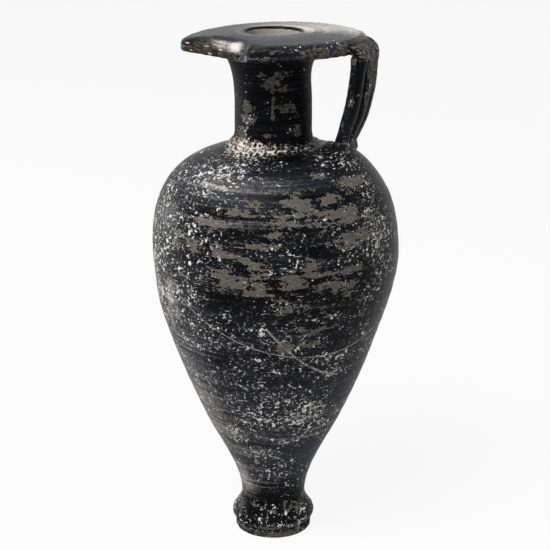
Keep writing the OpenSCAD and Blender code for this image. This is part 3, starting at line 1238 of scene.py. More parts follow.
    def build(self) -> bpy.types.Object:
        """Build and dress the body.

        Returns:
            The piece.
        """
        outside = self.outline()
        inside = self.lining(outside)
        profile = [(0.0, self.seam - self.peg_h), (self.peg_r, self.seam - self.peg_h),
                   (self.peg_r, self.seam)]
        profile += respaced(outside, self.spacing)
        profile += [(self.hole_r, self.shoulder)] + respaced(inside, 4.0 * self.spacing)
        bm = spun(profile, self.steps, closed=False)
        self.settle(bm)
        finish = SlipFinish("black_slip_body", specks=0.01, scuffs=0.05, scratches=self.scratches)
        return seated(bm, "body", finish, {
            Layer.WORN: marked(self.worn), Layer.CRUST: self.crust, Layer.RUBBED: self.rub,
            Layer.BARE: self.inside, Layer.PAINTED_LIGHT: marked(self.painted_light),
            Layer.DUST_AND_SHEEN: marked(self.dust_and_sheen)})


@dataclass
class Foot:
    """Turned foot with its bead, its plain band and the hollow beneath."""

    height: float = 10.5
    stem_r: float = 8.85
    bead_r: float = 11.5
    edge_r: float = 2.1
    bead_rise: float = 4.4
    plinth_r: float = 10.6
    plinth_h: float = 2.1
    plinth_edge: float = 0.35
    hollow_r: float = 6.4
    hollow_h: float = 1.3
    socket_r: float = 5.08
    socket_h: float = 2.68
    slip_end: float = 3.3
    steps: int = 224
    spacing: float = 0.28
    wave: float = 0.09
    fine_wave: float = 0.05
    chip_depth: float = 0.55
    chip_start: float = 0.32

    worn: Marks = (
        Stroke(((243, 9.1), (256, 8.8), (267, 8.4), (280, 7.9), (293, 7.5)), 0.32),
        Patch(290, 7.7, 0.9, 0.7),
        Stroke(((311, 10.4), (308, 8.6), (314, 7.6), (322, 8.4)), 0.35),
        Stroke(((322, 8.4), (324, 10.2)), 0.3), Patch(331, 7.7, 1.7, 1.0),
        Patch(252, 9.6, 0.8, 0.6), Patch(60, 7.4, 1.8, 1.2), Patch(140, 8.2, 1.5, 0.9),
        Patch(200, 6.8, 1.6, 0.8, 0.8), Patch(15, 5.6, 1.4, 1.0), Patch(96, 4.9, 1.8, 0.9),
        Patch(268, 3.0, 5.0, 0.5, 0.9), Patch(318, 1.2, 3.4, 0.8, 0.9),
        Patch(296, 0.8, 4.0, 0.6, 0.8), Patch(246, 1.3, 3.0, 0.7, 0.9),
        Patch(333, 2.9, 3.0, 0.5, 0.9),
    )

    def profile(self) -> Profile:
        """Section of the foot, from the middle of its hollow round to its socket.

        Returns:
            Radius and height of each point.
        """
        edge = self.plinth_edge
        inner_edge = self.plinth_r - edge
        centre = (self.bead_r - self.edge_r, self.bead_rise)
        bead = arc(centre, self.edge_r, -70.0, 35.0, 40)
        span = self.height - bead[-1][1]
        sweep = bezier(bead[-1], (bead[-1][0] - 0.19 * span, bead[-1][1] + 0.27 * span),
                       (self.stem_r, self.height - 0.37 * span), (self.stem_r, self.height), 30)
        hollow = [(0.0, self.hollow_h)]
        hollow += respaced([(0.6, self.hollow_h), (self.hollow_r - 0.3, self.hollow_h)], 0.6)
        hollow.append((self.hollow_r, self.hollow_h - 0.3))
        rest = respaced([(self.hollow_r, 0.0), (inner_edge, 0.0)], self.spacing)
        rest += arc((inner_edge, edge), edge, -90.0, 0.0, 4)[1:]
        band = respaced([(self.plinth_r, edge), (self.plinth_r, self.plinth_h - edge)], self.spacing)
        band += arc((inner_edge, self.plinth_h - edge), edge, 0.0, 90.0, 4)[1:]
        stem = respaced(bead, self.spacing) + respaced(sweep, self.spacing)[1:]
        socket = [(self.socket_r, self.height), (self.socket_r, self.height - self.socket_h),
                  (0.0, self.height - self.socket_h)]
        return hollow + rest + band[1:] + stem + socket

    def settle(self, bm: bmesh.types.BMesh) -> None:
        """Wear the turned edges down unevenly.

        Args:
            bm: The turned shell.
        """
        held = self.height - 1.5
        for spot in spots(bm, self.hollow_r):
            if spot.z > held:
                continue
            place = (spot.x, spot.y, spot.z)
            chip = max(0.0, grit(spot.x, spot.y, spot.z + 7.0, 0.55) - self.chip_start)
            swell = self.wave * grit(*place, 0.12) + self.fine_wave * grit(*place, 0.6)
            spot.vert.co += spot.out * (swell - self.chip_depth * chip)

    def bare(self, at: Places) -> np.ndarray:
        """Clay that the slip stops short of, below a wavy edge.

        Args:
            at: The places on the foot.

        Returns:
            Strength of the bare clay at each place.
        """
        around = np.radians(at.turn(0.0))
        edge = self.slip_end + 0.28 * np.sin(5 * around + 1.0) + 0.18 * np.sin(13 * around)
        low = 0.5 + (edge - at.height) / 0.8
        inner = np.where(at.radius < self.hollow_r + 0.2, 1.0, 0.0)
        return np.clip(np.maximum(low, inner), 0.0, 1.0)

    def build(self) -> bpy.types.Object:
        """Build and dress the foot.

        Returns:
            The piece.
        """
        bm = spun(self.profile(), self.steps, closed=False)
        self.settle(bm)
        # The bare clay is painted nearly black, as painted shade on the plinth under the bead.
        finish = SlipFinish("black_slip_foot", specks=0.24, line_depth=0.008, bared=0.45,
                            clay_dark=(0.012, 0.012, 0.013), clay_pale=(0.085, 0.082, 0.078))
        return seated(bm, "foot", finish, {
            Layer.WORN: marked(self.worn), Layer.BARE: self.bare, Layer.RUBBED: evenly(0.1)})


@dataclass
class Neck:
    """Neck tube with its passage, its collar and the spread top."""

    shoulder: float = SHOULDER
    under: float = DISC_UNDER
    top: float = 136.4
    collar_r: float = 9.1
    collar_h: float = 2.4
    tube_r: float = 10.2
    bore_r: float = 8.0
    flare_r: float = 13.4
    flare_h: float = 8.6
    steps: int = 224
    spacing: float = 0.32
    spread_azimuth: float = 199.0
    spread: float = 0.55
    ring_depth: float = 0.035
    rings_per_mm: float = 7.4
    foot_swell: float = 0.45
    wave: float = 0.12

    worn: Marks = (
        Patch(245.5, 122.1, 1.8, 2.0, 1.15), Patch(313, 122.4, 2.2, 1.5),
        Patch(320, 121.0, 1.7, 1.2), Patch(306, 121.6, 1.4, 0.8),
        Stroke(((288.5, 128.8), (288.7, 123), (287.9, 119.4)), 0.42),
        Patch(273, 130.6, 1.6, 0.8, 0.8), Patch(302, 130.4, 1.8, 1.1, 0.8),
        Patch(286, 129.4, 3.6, 1.3, 0.8), Patch(279.5, 128.6, 1.2, 1.0),
        Patch(303, 127.4, 2.6, 0.8, 0.7), Patch(243, 119.4, 1.6, 1.1),
        Patch(250, 118.6, 1.3, 0.9), Patch(236, 115.3, 1.7, 1.5), Patch(328, 116.2, 1.0, 1.4),
        Patch(282, 115.0, 1.3, 0.5), Patch(60, 121.0, 2.0, 1.5), Patch(120, 117.0, 1.8, 1.2),
        Patch(170, 124.0, 2.2, 1.4), Patch(20, 118.0, 1.5, 1.1), Patch(95, 129.0, 2.0, 1.0),
    )

    def profile(self) -> Profile:
        """Section of the neck, up its outside and down its passage.

        Returns:
            Radius and height of each point of the closed section.
        """
        start = self.under - self.flare_h
        tube = respaced([(self.tube_r, self.shoulder), (self.tube_r, start)], self.spacing)
        flare = bezier((self.tube_r, start), (self.tube_r, self.under - 0.45 * self.flare_h),
                       (self.tube_r + 0.35 * (self.flare_r - self.tube_r),
                        self.under - 0.12 * self.flare_h), (self.flare_r, self.under), 40)
        foot = self.shoulder - self.collar_h
        bore = respaced([(self.bore_r, self.top), (self.bore_r, foot)], 2.0 * self.spacing)
        return ([(self.collar_r, foot), (self.collar_r, self.shoulder)] + tube
                + respaced(flare, self.spacing)[1:] + [(self.flare_r, self.top)] + bore)

    def settle(self, bm: bmesh.types.BMesh) -> None:
        """Bend the spread top to the drooping disc and leave fine throwing lines.

        Args:
            bm: The turned shell.
        """
        for spot in spots(bm, self.tube_r - 0.3):
            x, y, z = spot.x, spot.y, spot.z
            if z > self.under + 0.1:
                continue
            side = math.cos(math.radians(turned_by(spot.azimuth, self.spread_azimuth)))
            swell = (self.spread * side + 0.1) * smoothstep(122.0, 133.5, z)
            phase = z * self.rings_per_mm + 0.8 * grit(x, y, z, 0.08)
            swell += self.ring_depth * math.sin(phase)
            swell += self.foot_swell * (1.0 - smoothstep(self.shoulder, self.shoulder + 3.2, z))
            swell += self.wave * grit(x, y, z, 0.09)
            free = smoothstep(self.shoulder - 0.1, self.shoulder + 0.1, z)
            spot.vert.co += spot.out * (free * swell)

    def bare(self, at: Places) -> np.ndarray:
        """Bare clay inside the passage."""
        return np.where(at.radius < self.bore_r + 0.4, 1.0, 0.0)

    def rub(self, at: Places) -> np.ndarray:
        """Rubbing low on the left."""
        return 0.3 * at.near(243.0, 9.0) * (1.0 - at.ease(118.0, 123.0, at.height))

    def crust(self, at: Places) -> np.ndarray:
        """Lime dirt above the join, thickest on the left."""
        above = np.clip(at.height - self.shoulder - 1.2, 0.0, 3.0)
        return 0.34 + 0.22 * at.near(250.0, 40.0) - 0.24 * above

    def build(self) -> bpy.types.Object:
        """Build and dress the neck.

        Returns:
            The piece.
        """
        bm = spun(self.profile(), self.steps, closed=True)
        self.settle(bm)
        # tone 0.65 paints the neck's slip darker, as painted shade under the disc.
        finish = SlipFinish("black_slip_neck", specks=-0.04, line_depth=0.026, tone=0.65, gloss=0.48,
                            worn_deep=(0.045, 0.042, 0.036), worn_pale=(0.135, 0.127, 0.108),
                            clay_dark=(0.42, 0.37, 0.32), clay_pale=(0.66, 0.59, 0.52))
        return seated(bm, "neck", finish, {
            Layer.WORN: marked(self.worn), Layer.BARE: self.bare, Layer.RUBBED: self.rub,
            Layer.CRUST: self.crust})


@dataclass
class MouthDisc:
    """Broad flat disc with the mouth, its worn rim and the old break."""

    under: float = DISC_UNDER
    rebate_top: float = 136.4
    rebate_r: float = 13.48
    top: float = 140.7
    disc_r: float = 24.2
    rim_t: float = 3.4
    rim_round: float = 1.2
    droop: float = 1.0
    mouth_r: float = 7.4
    lip_round: float = 0.5
    held_r: float = 14.6
    chip_depth: float = 7.2
    chip_curve_r: float = 50.0
    chip_azimuth: float = 236.0
    chip_blend: float = 2.4
    view_side: float = 19.0
    steps: int = 420
    rim_wave: float = 0.16
    jag: float = 0.55
    fine_jag: float = 0.30
    jag_lean: float = 0.5
    spall_run: float = 4.6
    spall_steps: tuple[Triple, ...] = ((1.2, 192.0, 212.0), (0.5, 216.0, 248.0),
                                       (1.3, 244.0, 264.0))
    spall_end: Point = (266.0, 286.0)
    top_sag: tuple[float, ...] = (-0.15, 0.85, -0.5, -0.38)
    under_sag: tuple[float, ...] = (-0.25, 0.62, -0.22, -0.2)
    sag_span: Point = (9.0, 13.0)
    strap_azimuth: float = 4.0
    strap_spread: float = 26.0
    strap_rough: float = 0.32
    strap_fullness: float = 0.12
    rim_rough: float = 0.18
    face_rough: float = 0.05
    ring_span: Point = (9.0, 11.0)
    ring_depth: float = 0.03
    rings_per_mm: float = 4.2

    def top_at(self, radius: float) -> float:
        """Height of the turned top at a radius."""
        lip = self.mouth_r + self.lip_round
        share = max(0.0, radius - lip) / (self.disc_r - lip)
        return self.top - self.droop * share * share

    def under_at(self, radius: float) -> float:
        """Height of the turned underside at a radius."""
        rim_under = self.top - self.droop - self.rim_t
        share = (radius - self.rebate_r) / (self.disc_r - self.rim_round - self.rebate_r)
        return self.under + (rim_under - self.under) * min(1.0, max(0.0, share))

    def profile(self) -> Profile:
        """Section of the disc, out along its underside and back over its top.

        Returns:
            Radius and height of each point of the closed section.
        """
        low = self.top - self.droop - self.rim_t + self.rim_round
        high = self.top - self.droop - self.rim_round
        rim_r = self.disc_r - self.rim_round
        under = respaced([(self.rebate_r, self.under), (rim_r, low - self.rim_round)], 0.5)
        edge = arc((rim_r, low), self.rim_round, -90.0, 0.0, 6)
        edge += arc((rim_r, high), self.rim_round, 0.0, 84.0, 6)
        lip = self.mouth_r + self.lip_round
        radii = np.linspace(rim_r, lip, 34)[1:]
        crown = [(float(r), self.top_at(float(r))) for r in radii]
        mouth = arc((lip, self.top - self.lip_round), self.lip_round, 90.0, 180.0, 5)[1:]
        bore = respaced([mouth[-1], (self.mouth_r, self.rebate_top)], 0.6)[1:]
        seat = respaced([(self.mouth_r, self.rebate_top), (self.rebate_r, self.rebate_top)], 1.5)[1:]
        return under[:-1] + edge + crown + mouth + bore + seat

    def chip_reach(self, turn: float | np.ndarray) -> np.ndarray:
        """Distance from the axis to the break, or more than the radius beside it.

        Args:
            turn: Angles in degrees from the middle of the break.

        Returns:
            The distances.
        """
        angle = np.radians(turn)
        centre = self.disc_r - self.chip_depth + self.chip_curve_r
        room = self.chip_curve_r ** 2 - (centre * np.sin(angle)) ** 2
        inner = centre * np.cos(angle) - np.sqrt(np.maximum(room, 0.0))
        return np.where((room > 0.0) & (np.cos(angle) > 0.0), inner, 2.0 * self.disc_r)

    def chip_reach_at(self, azimuth: float) -> float:
        """Distance from the axis to the break in one direction."""
        return float(self.chip_reach(turned_by(azimuth, self.chip_azimuth)))

    def sag(self, azimuth: float, level: float) -> float:
        """How far the rim stands above the turned shape, in a direction.

        Args:
            azimuth: The direction.
            level: Share of the way up from the underside to the top.

        Returns:
            The distance up at the rim.
        """
        turn = math.radians(turned_by(azimuth, self.view_side))
        waves = (1.0, math.cos(turn), math.sin(turn), math.cos(2.0 * turn))
        top, under = (sum(height * wave for height, wave in zip(heights, waves))
                      for heights in (self.top_sag, self.under_sag))
        return level * top + (1.0 - level) * under

    def broken_off(self, spot: Spot) -> Point:
        """Place of a rim point once the edge is worn and broken.

        Args:
            spot: The point.

        Returns:
            Its new distance from the axis and its new height.
        """
        out = spot.out
        depth = self.top_at(spot.radius) - self.under_at(spot.radius)
        level = (spot.z - self.under_at(spot.radius)) / depth
        jag = self.jag * grit(out.x, out.y, 0.3 * level, 9.0)
        jag += self.fine_jag * grit(out.x, out.y, 0.5 * level, 26.0)
        jag += self.jag_lean * (0.5 - level)
        reach = self.chip_reach_at(spot.azimuth) + jag
        whole = self.disc_r + self.rim_wave * grit(out.x, out.y, 3.0, 2.3)
        blend = max(0.0, 1.0 - abs(whole - reach) / self.chip_blend)
        edge = min(whole, reach) - 0.25 * self.chip_blend * blend * blend
        share = (spot.radius - self.held_r) / (self.disc_r - self.held_r)
        radius = self.held_r + share * (edge - self.held_r)
        depth = self.top_at(radius) - self.under_at(radius)
        return radius, self.under_at(radius) + level * depth

    def roughness(self, spot: Spot, radius: float, height: float) -> float:
        """Lumps of the worn rim and of the clay over the strap.

        Args:
            spot: The point before it was moved.
            radius: Its new distance from the axis.
            height: Its new height.

        Returns:
            How far the lumps stand out.
        """
        place = (spot.x, spot.y, height)
        rim = smoothstep(self.disc_r - 2.6, self.disc_r - 0.4, radius)
        strap = rim * bell(turned_by(spot.azimuth, self.strap_azimuth), 0.0, self.strap_spread)
        lumps = self.face_rough * grit(*place, 0.35) + rim * self.rim_rough * grit(*place, 1.1)
        return lumps + strap * (self.strap_rough * grit(*place, 0.75) + self.strap_fullness)

    def settle(self, bm: bmesh.types.BMesh) -> None:
        """Break the edge, let the rim droop and roughen what is worn.

        Args:
            bm: The turned shell.
        """
        for spot in spots(bm, self.mouth_r - 0.1):
            radius, z = spot.radius, spot.z
            if radius > self.held_r:
                radius, z = self.broken_off(spot)
            level = min(1.0, max(0.0, (z - self.under) / (self.top - self.under)))
            sag = self.sag(spot.azimuth, level) * (radius / self.disc_r) ** 2
            z += sag * smoothstep(*self.sag_span, radius)
            bump = self.roughness(spot, radius, z)
            wheel = self.ring_depth * math.sin(radius * self.rings_per_mm)
            wheel *= smoothstep(*self.ring_span, radius)
            if radius > self.mouth_r + 0.8:
                z += (bump + wheel) * (1.0 if level > 0.5 else -1.0)
            z -= level * self.spall(radius, spot.azimuth)
            spot.vert.co = spot.out * (radius + 0.6 * bump) + Vector((0.0, 0.0, z))

    def spall(self, radius: float, azimuth: float) -> float:
        """Depth of the slope that came off the top beside the break.

        Args:
            radius: Distance from the axis.
            azimuth: The direction.

        Returns:
            The depth.
        """
        away = max(0.0, min(self.disc_r, self.chip_reach_at(azimuth)) - radius)
        along = azimuth % 360.0
        depth = sum(step * smoothstep(start, end, along) for step, start, end in self.spall_steps)
        depth *= 1.0 - smoothstep(*self.spall_end, along)
        lump = 1.0 + 0.12 * grit(radius, math.radians(azimuth) * 20.0, 0.0, 0.8)
        return depth * lump * (1.0 - smoothstep(-0.8, self.spall_run, away))

    def inside_break(self, at: Places) -> np.ndarray:
        """Distance of each place from the break, towards the axis."""
        return self.chip_reach(at.turn(self.chip_azimuth)) - at.radius

    def broken(self, at: Places) -> np.ndarray:
        """Broken clay on the face of the break.

        Args:
            at: The places on the disc.

        Returns:
            Strength of the broken clay at each place.
        """
        break_end = at.turn(264.0)
        face = np.clip(1.2 - self.inside_break(at) / 0.9, 0.0, 1.0)
        end = 1.0 - at.ease(-3.0, 6.0, break_end + 1.6 * (138.0 - at.height))
        end = np.where(break_end > -40.0, end, 1.0)
        return np.where(at.radius > self.held_r, face * end, 0.0)

    def dust_and_sheen(self, at: Places) -> np.ndarray:
        """Pale clay where the flake came off, brightened as a painted highlight, and painted sheen
        beside it and towards the back of the top.

        Args:
            at: The places on the disc.

        Returns:
            Strength of the pale clay and the painted sheen at each place.
        """
        away = np.maximum(self.inside_break(at), 0.0)
        # pale clay of the spall, made paler as a painted highlight where its hollow catches the light
        flake = 0.94 * at.near(254.5, 11.0) * (1.0 - at.ease(1.2, 4.6, away))
        # painted sheen: a brownish-grey band to the left of the spall
        scuff = 0.62 * at.near(236.0, 18.0) * (1.0 - at.ease(1.0, 4.2, away))
        upper = at.ease(136.8, 138.4, at.height) * at.ease(14.0, 16.0, at.radius)
        # painted sheen: the top painted lighter towards the back and right, and in a ring round the
        # mouth
        back = 0.44 * np.clip(np.sin(np.radians(at.turn(-12.0))), 0.0, 1.0)
        back += 0.30 * at.near(32.0, 36.0)
        back += 0.20 * np.exp(-((at.radius - 9.4) / 1.6) ** 2)
        on_top = at.ease(139.0, 139.6, at.height) * at.ease(7.5, 8.6, at.radius)
        return upper * np.maximum(flake, scuff) + on_top * back

    def worn(self, at: Places) -> np.ndarray:
        """Wear round the rim, strongest over the strap.

        Args:
            at: The places on the disc.

        Returns:
            Strength of the wear at each place.
        """
        rim = at.ease(self.disc_r - 1.9, self.disc_r - 0.3, at.radius)
        strap = at.near(-2.0, 27.0) * at.ease(18.5, 22.5, at.radius)
        crest = 0.24 * np.exp(-((at.height - 139.1) / 0.4) ** 2)
        round_rim = 0.12 + (0.10 + crest) * at.near(298.0, 38.0)
        return np.clip((round_rim + 0.42 * strap) * rim + 0.15 * strap, 0.0, 0.85)

    def rub(self, at: Places) -> np.ndarray:
        """Rubbing along the upper edge of the rim."""
        return 0.06 * at.ease(22.5, 23.6, at.radius) * at.ease(138.0, 139.2, at.height)

    def bare(self, at: Places) -> np.ndarray:
        """Bare clay low in the mouth."""
        low = 1.0 - at.ease(139.8, 140.5, at.height)
        return np.where(at.radius < self.mouth_r + 0.3, low, 0.0)

    def build(self) -> bpy.types.Object:
        """Build and dress the disc.

        Returns:
            The piece.
        """
        bm = spun(self.profile(), self.steps, closed=True)
        self.settle(bm)
        # tone 1.5 paints the disc's slip lighter, as painted light on its lit top; its pale dust colour
        # also lays painted sheen.
        finish = SlipFinish("black_slip_disc", specks=-0.08, unrolled=False, tone=1.5, shine=0.08,
                            line_depth=0.006, dust=(0.74, 0.71, 0.67),
                            clay_dark=(0.40, 0.37, 0.34), clay_pale=(0.70, 0.65, 0.60),
                            worn_deep=(0.040, 0.034, 0.028), worn_pale=(0.150, 0.130, 0.108))
        return seated(bm, "mouth_disc", finish, {
            Layer.WORN: self.worn, Layer.BROKEN: self.broken, Layer.DUST_AND_SHEEN: self.dust_and_sheen,
            Layer.BARE: self.bare, Layer.RUBBED: self.rub})


class RollPlace(Enum):
    """Place of a roll in the strap, from the front to the back."""

    FRONT = -1
    MIDDLE = 0
    BACK = 1


@dataclass
class Strap:
    """Strap handle of three clay rolls laid side by side."""

    shoulder: float = SHOULDER
    line_r: float = 24.7
    bend: float = 135.2
    bend_r: float = 52.95
    curl_r: float = 5.0
    top: float = 137.6
    root: float = 106.0
    thickness: float = 4.3
    foot_w: float = 14.4
    top_w: float = 16.0
    foot_thinning: float = 0.45
    dip: float = 0.55
    back_dip: float = 0.22
    sides: int = 40
    rings: int = 120

    def line(self, height: float) -> float:
        """Distance of the strap's middle from the axis at a height.

        Args:
            height: The height.

        Returns:
            The distance.
        """
        radius = self.curl_r if height > self.bend else self.bend_r
        return self.line_r - radius + math.sqrt(radius ** 2 - (height - self.bend) ** 2)

    def lean(self, height: float) -> float:
        """Slope of that middle: change of distance for a step up."""
        step = 0.05
        return (self.line(height + step) - self.line(height - step)) / (2.0 * step)

    def width(self, height: float) -> float:
        """Width of the whole strap at a height."""
        share = (height - self.shoulder) / (self.top - self.shoulder)
        return self.foot_w + (self.top_w - self.foot_w) * share

    def drawn_in(self, across: float, height: float) -> float:
        """How far the front edge is drawn towards the middle near the shoulder."""
        return 0.22 * max(0.0, -across) * (1.0 - smoothstep(108.0, 124.0, height))

    def edges_of(self, place: RollPlace) -> Point:
        """Near and far edge of a roll, as shares of the strap's width from its middle."""
        return {RollPlace.FRONT: (-0.5, -0.19), RollPlace.MIDDLE: (-0.20, 0.17),
                RollPlace.BACK: (0.16, 0.5)}[place]

    def groove_shade(self, at: Places, place: RollPlace) -> np.ndarray:
        """Painted shade in the grooves beside a roll.

        Args:
            at: The places on the roll.
            place: Place of the roll in the strap.

        Returns:
            Strength of the painted shade at each place.
        """
        near, far = self.edges_of(place)
        share = at.y / self.foot_w
        beside = np.maximum(at.ease(near + 0.07, near, share), at.ease(far - 0.07, far, share))
        if place is RollPlace.MIDDLE:
            return beside
        outer_edge = near if place is RollPlace.FRONT else far
        return beside * at.ease(0.07, 0.14, np.abs(share - outer_edge))

    def grey_and_painted_light(self, at: Places, place: RollPlace) -> np.ndarray:
        """Grey of the handled faces, and black painted shade in the grooves."""
        handled = 0.4 * at.ease(25.6, 23.4, at.x) if place is RollPlace.FRONT else 0.0
        return handled - 2.4 * self.groove_shade(at, place)

    def half_inside(self, height: float) -> float:
        """Half of the strap's thickness at a height; it thins towards the shoulder."""
        return self.thickness / 2.0 - self.foot_thinning * (1.0 - smoothstep(111.0, 122.0, height))

    def half_outside(self, place: RollPlace, height: float) -> float:
        """How far a roll stands out from the strap's middle line at a height.

        Args:
            place: Place of the roll in the strap.
            height: The height.

        Returns:
            The distance.
        """
        full = self.half_inside(height)
        if place is RollPlace.FRONT:
            return full - self.dip * between(height, (112.0, 118.0), (131.0, 135.5))
        return full - self.back_dip * smoothstep(126.0, 134.0, height)

    def shape(self, bm: bmesh.types.BMesh, place: RollPlace) -> None:
        """Bend a straight bar into one roll.

        Args:
            bm: The bar.
            place: Place of the roll in the strap.
        """
        flat_side = 0.42
        seed = 31.0 * place.value
        near, far = self.edges_of(place)
        for vert in bm.verts:
            u, v, share = vert.co
            height = self.root + (self.top - self.root) * share
            end = smoothstep(0.90, 1.0, share)
            squeeze = math.sqrt(max(0.06, 1.0 - 0.94 * end ** 3))
            pressed = ((place is RollPlace.MIDDLE and v > 0.0)
                       or (place is RollPlace.BACK and v < 0.0))
            blunt = flat_side if pressed else 1.0
            half = self.half_outside(place, height) if u > 0.0 else self.half_inside(height)
            depth = math.copysign(abs(u) ** blunt, u) * half * squeeze
            across = self.width(height) * (0.5 * (near + far) + 0.5 * v * squeeze * (far - near))
            across += self.drawn_in(across, height)
            depth += 0.10 * grit(across, seed, height, 0.16) + 0.05 * grit(across, seed, height, 0.7)
            across += 0.16 * grit(seed, depth, height, 0.14)
            tilt = self.lean(height)
            length = math.hypot(1.0, tilt)
            wander = 0.12 * grit(seed, 5.0, height, 0.1)
            vert.co = Vector((self.line(height) + (depth + wander) / length, across,
                              height - depth * tilt / length))

    def worn(self, at: Places, place: RollPlace) -> np.ndarray:
        """Wear on a roll.

        Args:
            at: The places on the roll.
            place: Place of the roll in the strap.

        Returns:
            One number from 0 to 1 for each place.
        """
        top = at.ease(124.0, 133.0, at.height)
        outer = at.ease(24.5, 26.4, at.x)
        if place is RollPlace.FRONT:
            inner = at.ease(25.2, 23.0, at.x)
            return np.clip((0.22 + 0.30 * top) * inner + 0.34 * at.ease(134.0, 136.0, at.height),
                           0.0, 1.0)
        strip = at.ease(115.0, 121.0, at.height) * (1.0 - at.ease(133.5, 136.5, at.height))
        return np.clip(0.62 * strip * outer + 0.2 * top, 0.0, 1.0)

    def build(self, place: RollPlace) -> bpy.types.Object:
        """Build and dress one roll.

        Args:
            place: Place of the roll in the strap.

        Returns:
            The piece.
        """
        name = place.name.lower()
        bm = bar(self.sides, self.rings)
        self.shape(bm, place)
        finish = SlipFinish("black_slip_roll_" + name, grain=Grain.PULLED, specks=-0.03, tone=0.7,
                            gloss=0.42, unrolled=False, line_depth=0.014,
                            worn_deep=(0.050, 0.042, 0.033), worn_pale=(0.160, 0.145, 0.122))
        return seated(bm, "handle_rib_" + name, finish, {
            # the grooves stay black as painted shade: less wear and no grey there
            Layer.WORN: lambda at: self.worn(at, place) - 0.8 * self.groove_shade(at, place),
            Layer.PAINTED_LIGHT: lambda at: self.grey_and_painted_light(at, place),
            Layer.RUBBED: lambda at: 0.2 * (1.0 - at.ease(112.0, 116.0, at.height))})


@dataclass
class NeckLuting:
    """Ring of clay pressed into the corner between neck and shoulder."""

    shoulder: float = SHOULDER
    neck_r: float = 10.2
    width: float = 1.4
    height: float = 1.3
    steps: int = 224
    bed: float = 0.15
    tucked: float = 0.2

    def section(self) -> Profile:
        """Section of the ring, with its hollow face.

        Returns:
            Radius and height of each point of the closed section.
        """
        low, wall = self.shoulder - self.bed, self.neck_r - self.tucked
        face = [(self.neck_r + 0.1 + self.width * (1.0 - math.sin(q)),
                 self.shoulder + self.height * (1.0 - math.cos(q)))
                for q in map(float, np.linspace(0.0, math.pi / 2.0, 10))]
        return [(wall, low), (self.neck_r + self.width, low), *face,
                (wall, self.shoulder + self.height)]

    def settle(self, bm: bmesh.types.BMesh) -> None:
        """Press the ring down unevenly.

        Args:
            bm: The turned ring.
        """
        for spot in spots(bm, inner=0.0):
            if spot.z <= self.shoulder - 0.1:
                continue
            place = (spot.x, spot.y, spot.z)
            share = min(1.0, max(0.0, (spot.radius - self.neck_r) / self.width))
            up = max(0.0, spot.z - self.shoulder)
            bulge = 0.5 * grit(*place, 0.28) + 0.3 * grit(*place, 0.9) + 0.15
            spot.vert.co += spot.out * (bulge * share)
            spot.vert.co.z += 0.35 * bulge * (0.3 + up)

    def build(self) -> bpy.types.Object:
        """Build and dress the ring.

        Returns:
            The piece.
        """
        bm = spun(self.section(), self.steps, closed=True)
        self.settle(bm)
        finish = SlipFinish("dirt_crust_neck_join", grain=Grain.PRESSED, specks=0.2, tone=0.9)
        return seated(bm, "neck_luting", finish, {
            Layer.CRUST: lambda at: 0.30 + 0.36 * at.near(250.0, 42.0), Layer.WORN: evenly(0.3)})


@dataclass
class FootLuting:
    """Clay pressed around the foot of the strap on the shoulder."""

    strap: Strap
    low: float = 106.4
    high: float = 113.7
    near_drop: float = 2.6
    top_spread: float = -0.55
    near_reach: float = 0.3
    back_reach: float = 1.7
    side_reach: float = 1.3
    steps: int = 176
    rings: int = 26

    @staticmethod
    def sides_of(turn: float) -> tuple[float, float, float, float]:
        """How far a direction looks to the near, the far, the inner and the outer side.

        Args:
            turn: Direction from the strap's middle, in radians, with 0 on its outer side.

        Returns:
            One number from 0 to 1 for each side.
        """
        side, out = math.sin(turn), math.cos(turn)
        return (max(0.0, -side) ** 1.5, max(0.0, side) ** 1.5, max(0.0, -out) ** 2,
                max(0.0, out) ** 2)

    def spread(self, turn: float, height: float) -> float:
        """How far the clay reaches out from the strap.

        Args:
            turn: Direction from the strap's middle, in radians, with 0 on its outer side.
            height: The height.

        Returns:
            The distance from the strap's face.
        """
        near, back, inner, outer = self.sides_of(turn)
        reach = self.near_reach * near + self.back_reach * back + self.side_reach * (inner + outer)
        fall = max(0.0, (self.high - height) / (self.high - self.low))
        return self.top_spread + 1.3 * smoothstep(0.0, 0.55, fall) + reach * fall ** 1.7

    def settle(self, bm: bmesh.types.BMesh) -> None:
        """Press a straight bar around the strap's foot.

        Args:
            bm: The bar.
        """
        for vert in bm.verts:
            u, v, share = vert.co
            turn = math.atan2(v, u)
            high = self.high - self.near_drop * self.sides_of(turn)[0]
            height = self.low + (high - self.low) * share
            lump = 0.42 * grit(u * 2.0, v * 2.0, share, 1.7) + 0.22 * grit(u * 3.0, v * 3.0, share, 3.0)
            half_t = self.strap.half_inside(height) * math.hypot(1.0, self.strap.lean(height))
            half_w = self.strap.width(height) / 2.0 - half_t
            held = max(-1.0, min(1.0, 2.2 * v))
            reach = half_t + self.spread(turn, height) + lump
            x = self.strap.line(height) + reach * u
            y = half_w * held + reach * v
            y += self.strap.drawn_in(y, height)
            vert.co = Vector((x, y, height + 0.9 * grit(x, y, 3.0, 0.35) * share))

    def build(self) -> bpy.types.Object:
        """Build and dress the clay around the strap's foot.

        Returns:
            The piece.
        """
        bm = bar(self.steps, self.rings)
        self.settle(bm)
        finish = SlipFinish("black_slip_strap_foot", grain=Grain.PRESSED, specks=0.04, gloss=0.42,
                            unrolled=False, worn_deep=(0.05, 0.042, 0.034))
        return seated(bm, "handle_foot_luting", finish, {
            Layer.CRUST: lambda at: 0.20 * at.ease(112.5, 110.0, at.height),
            Layer.WORN: evenly(0.15),
            Layer.RUBBED: lambda at: 0.4 * at.ease(113.0, 110.0, at.height)})


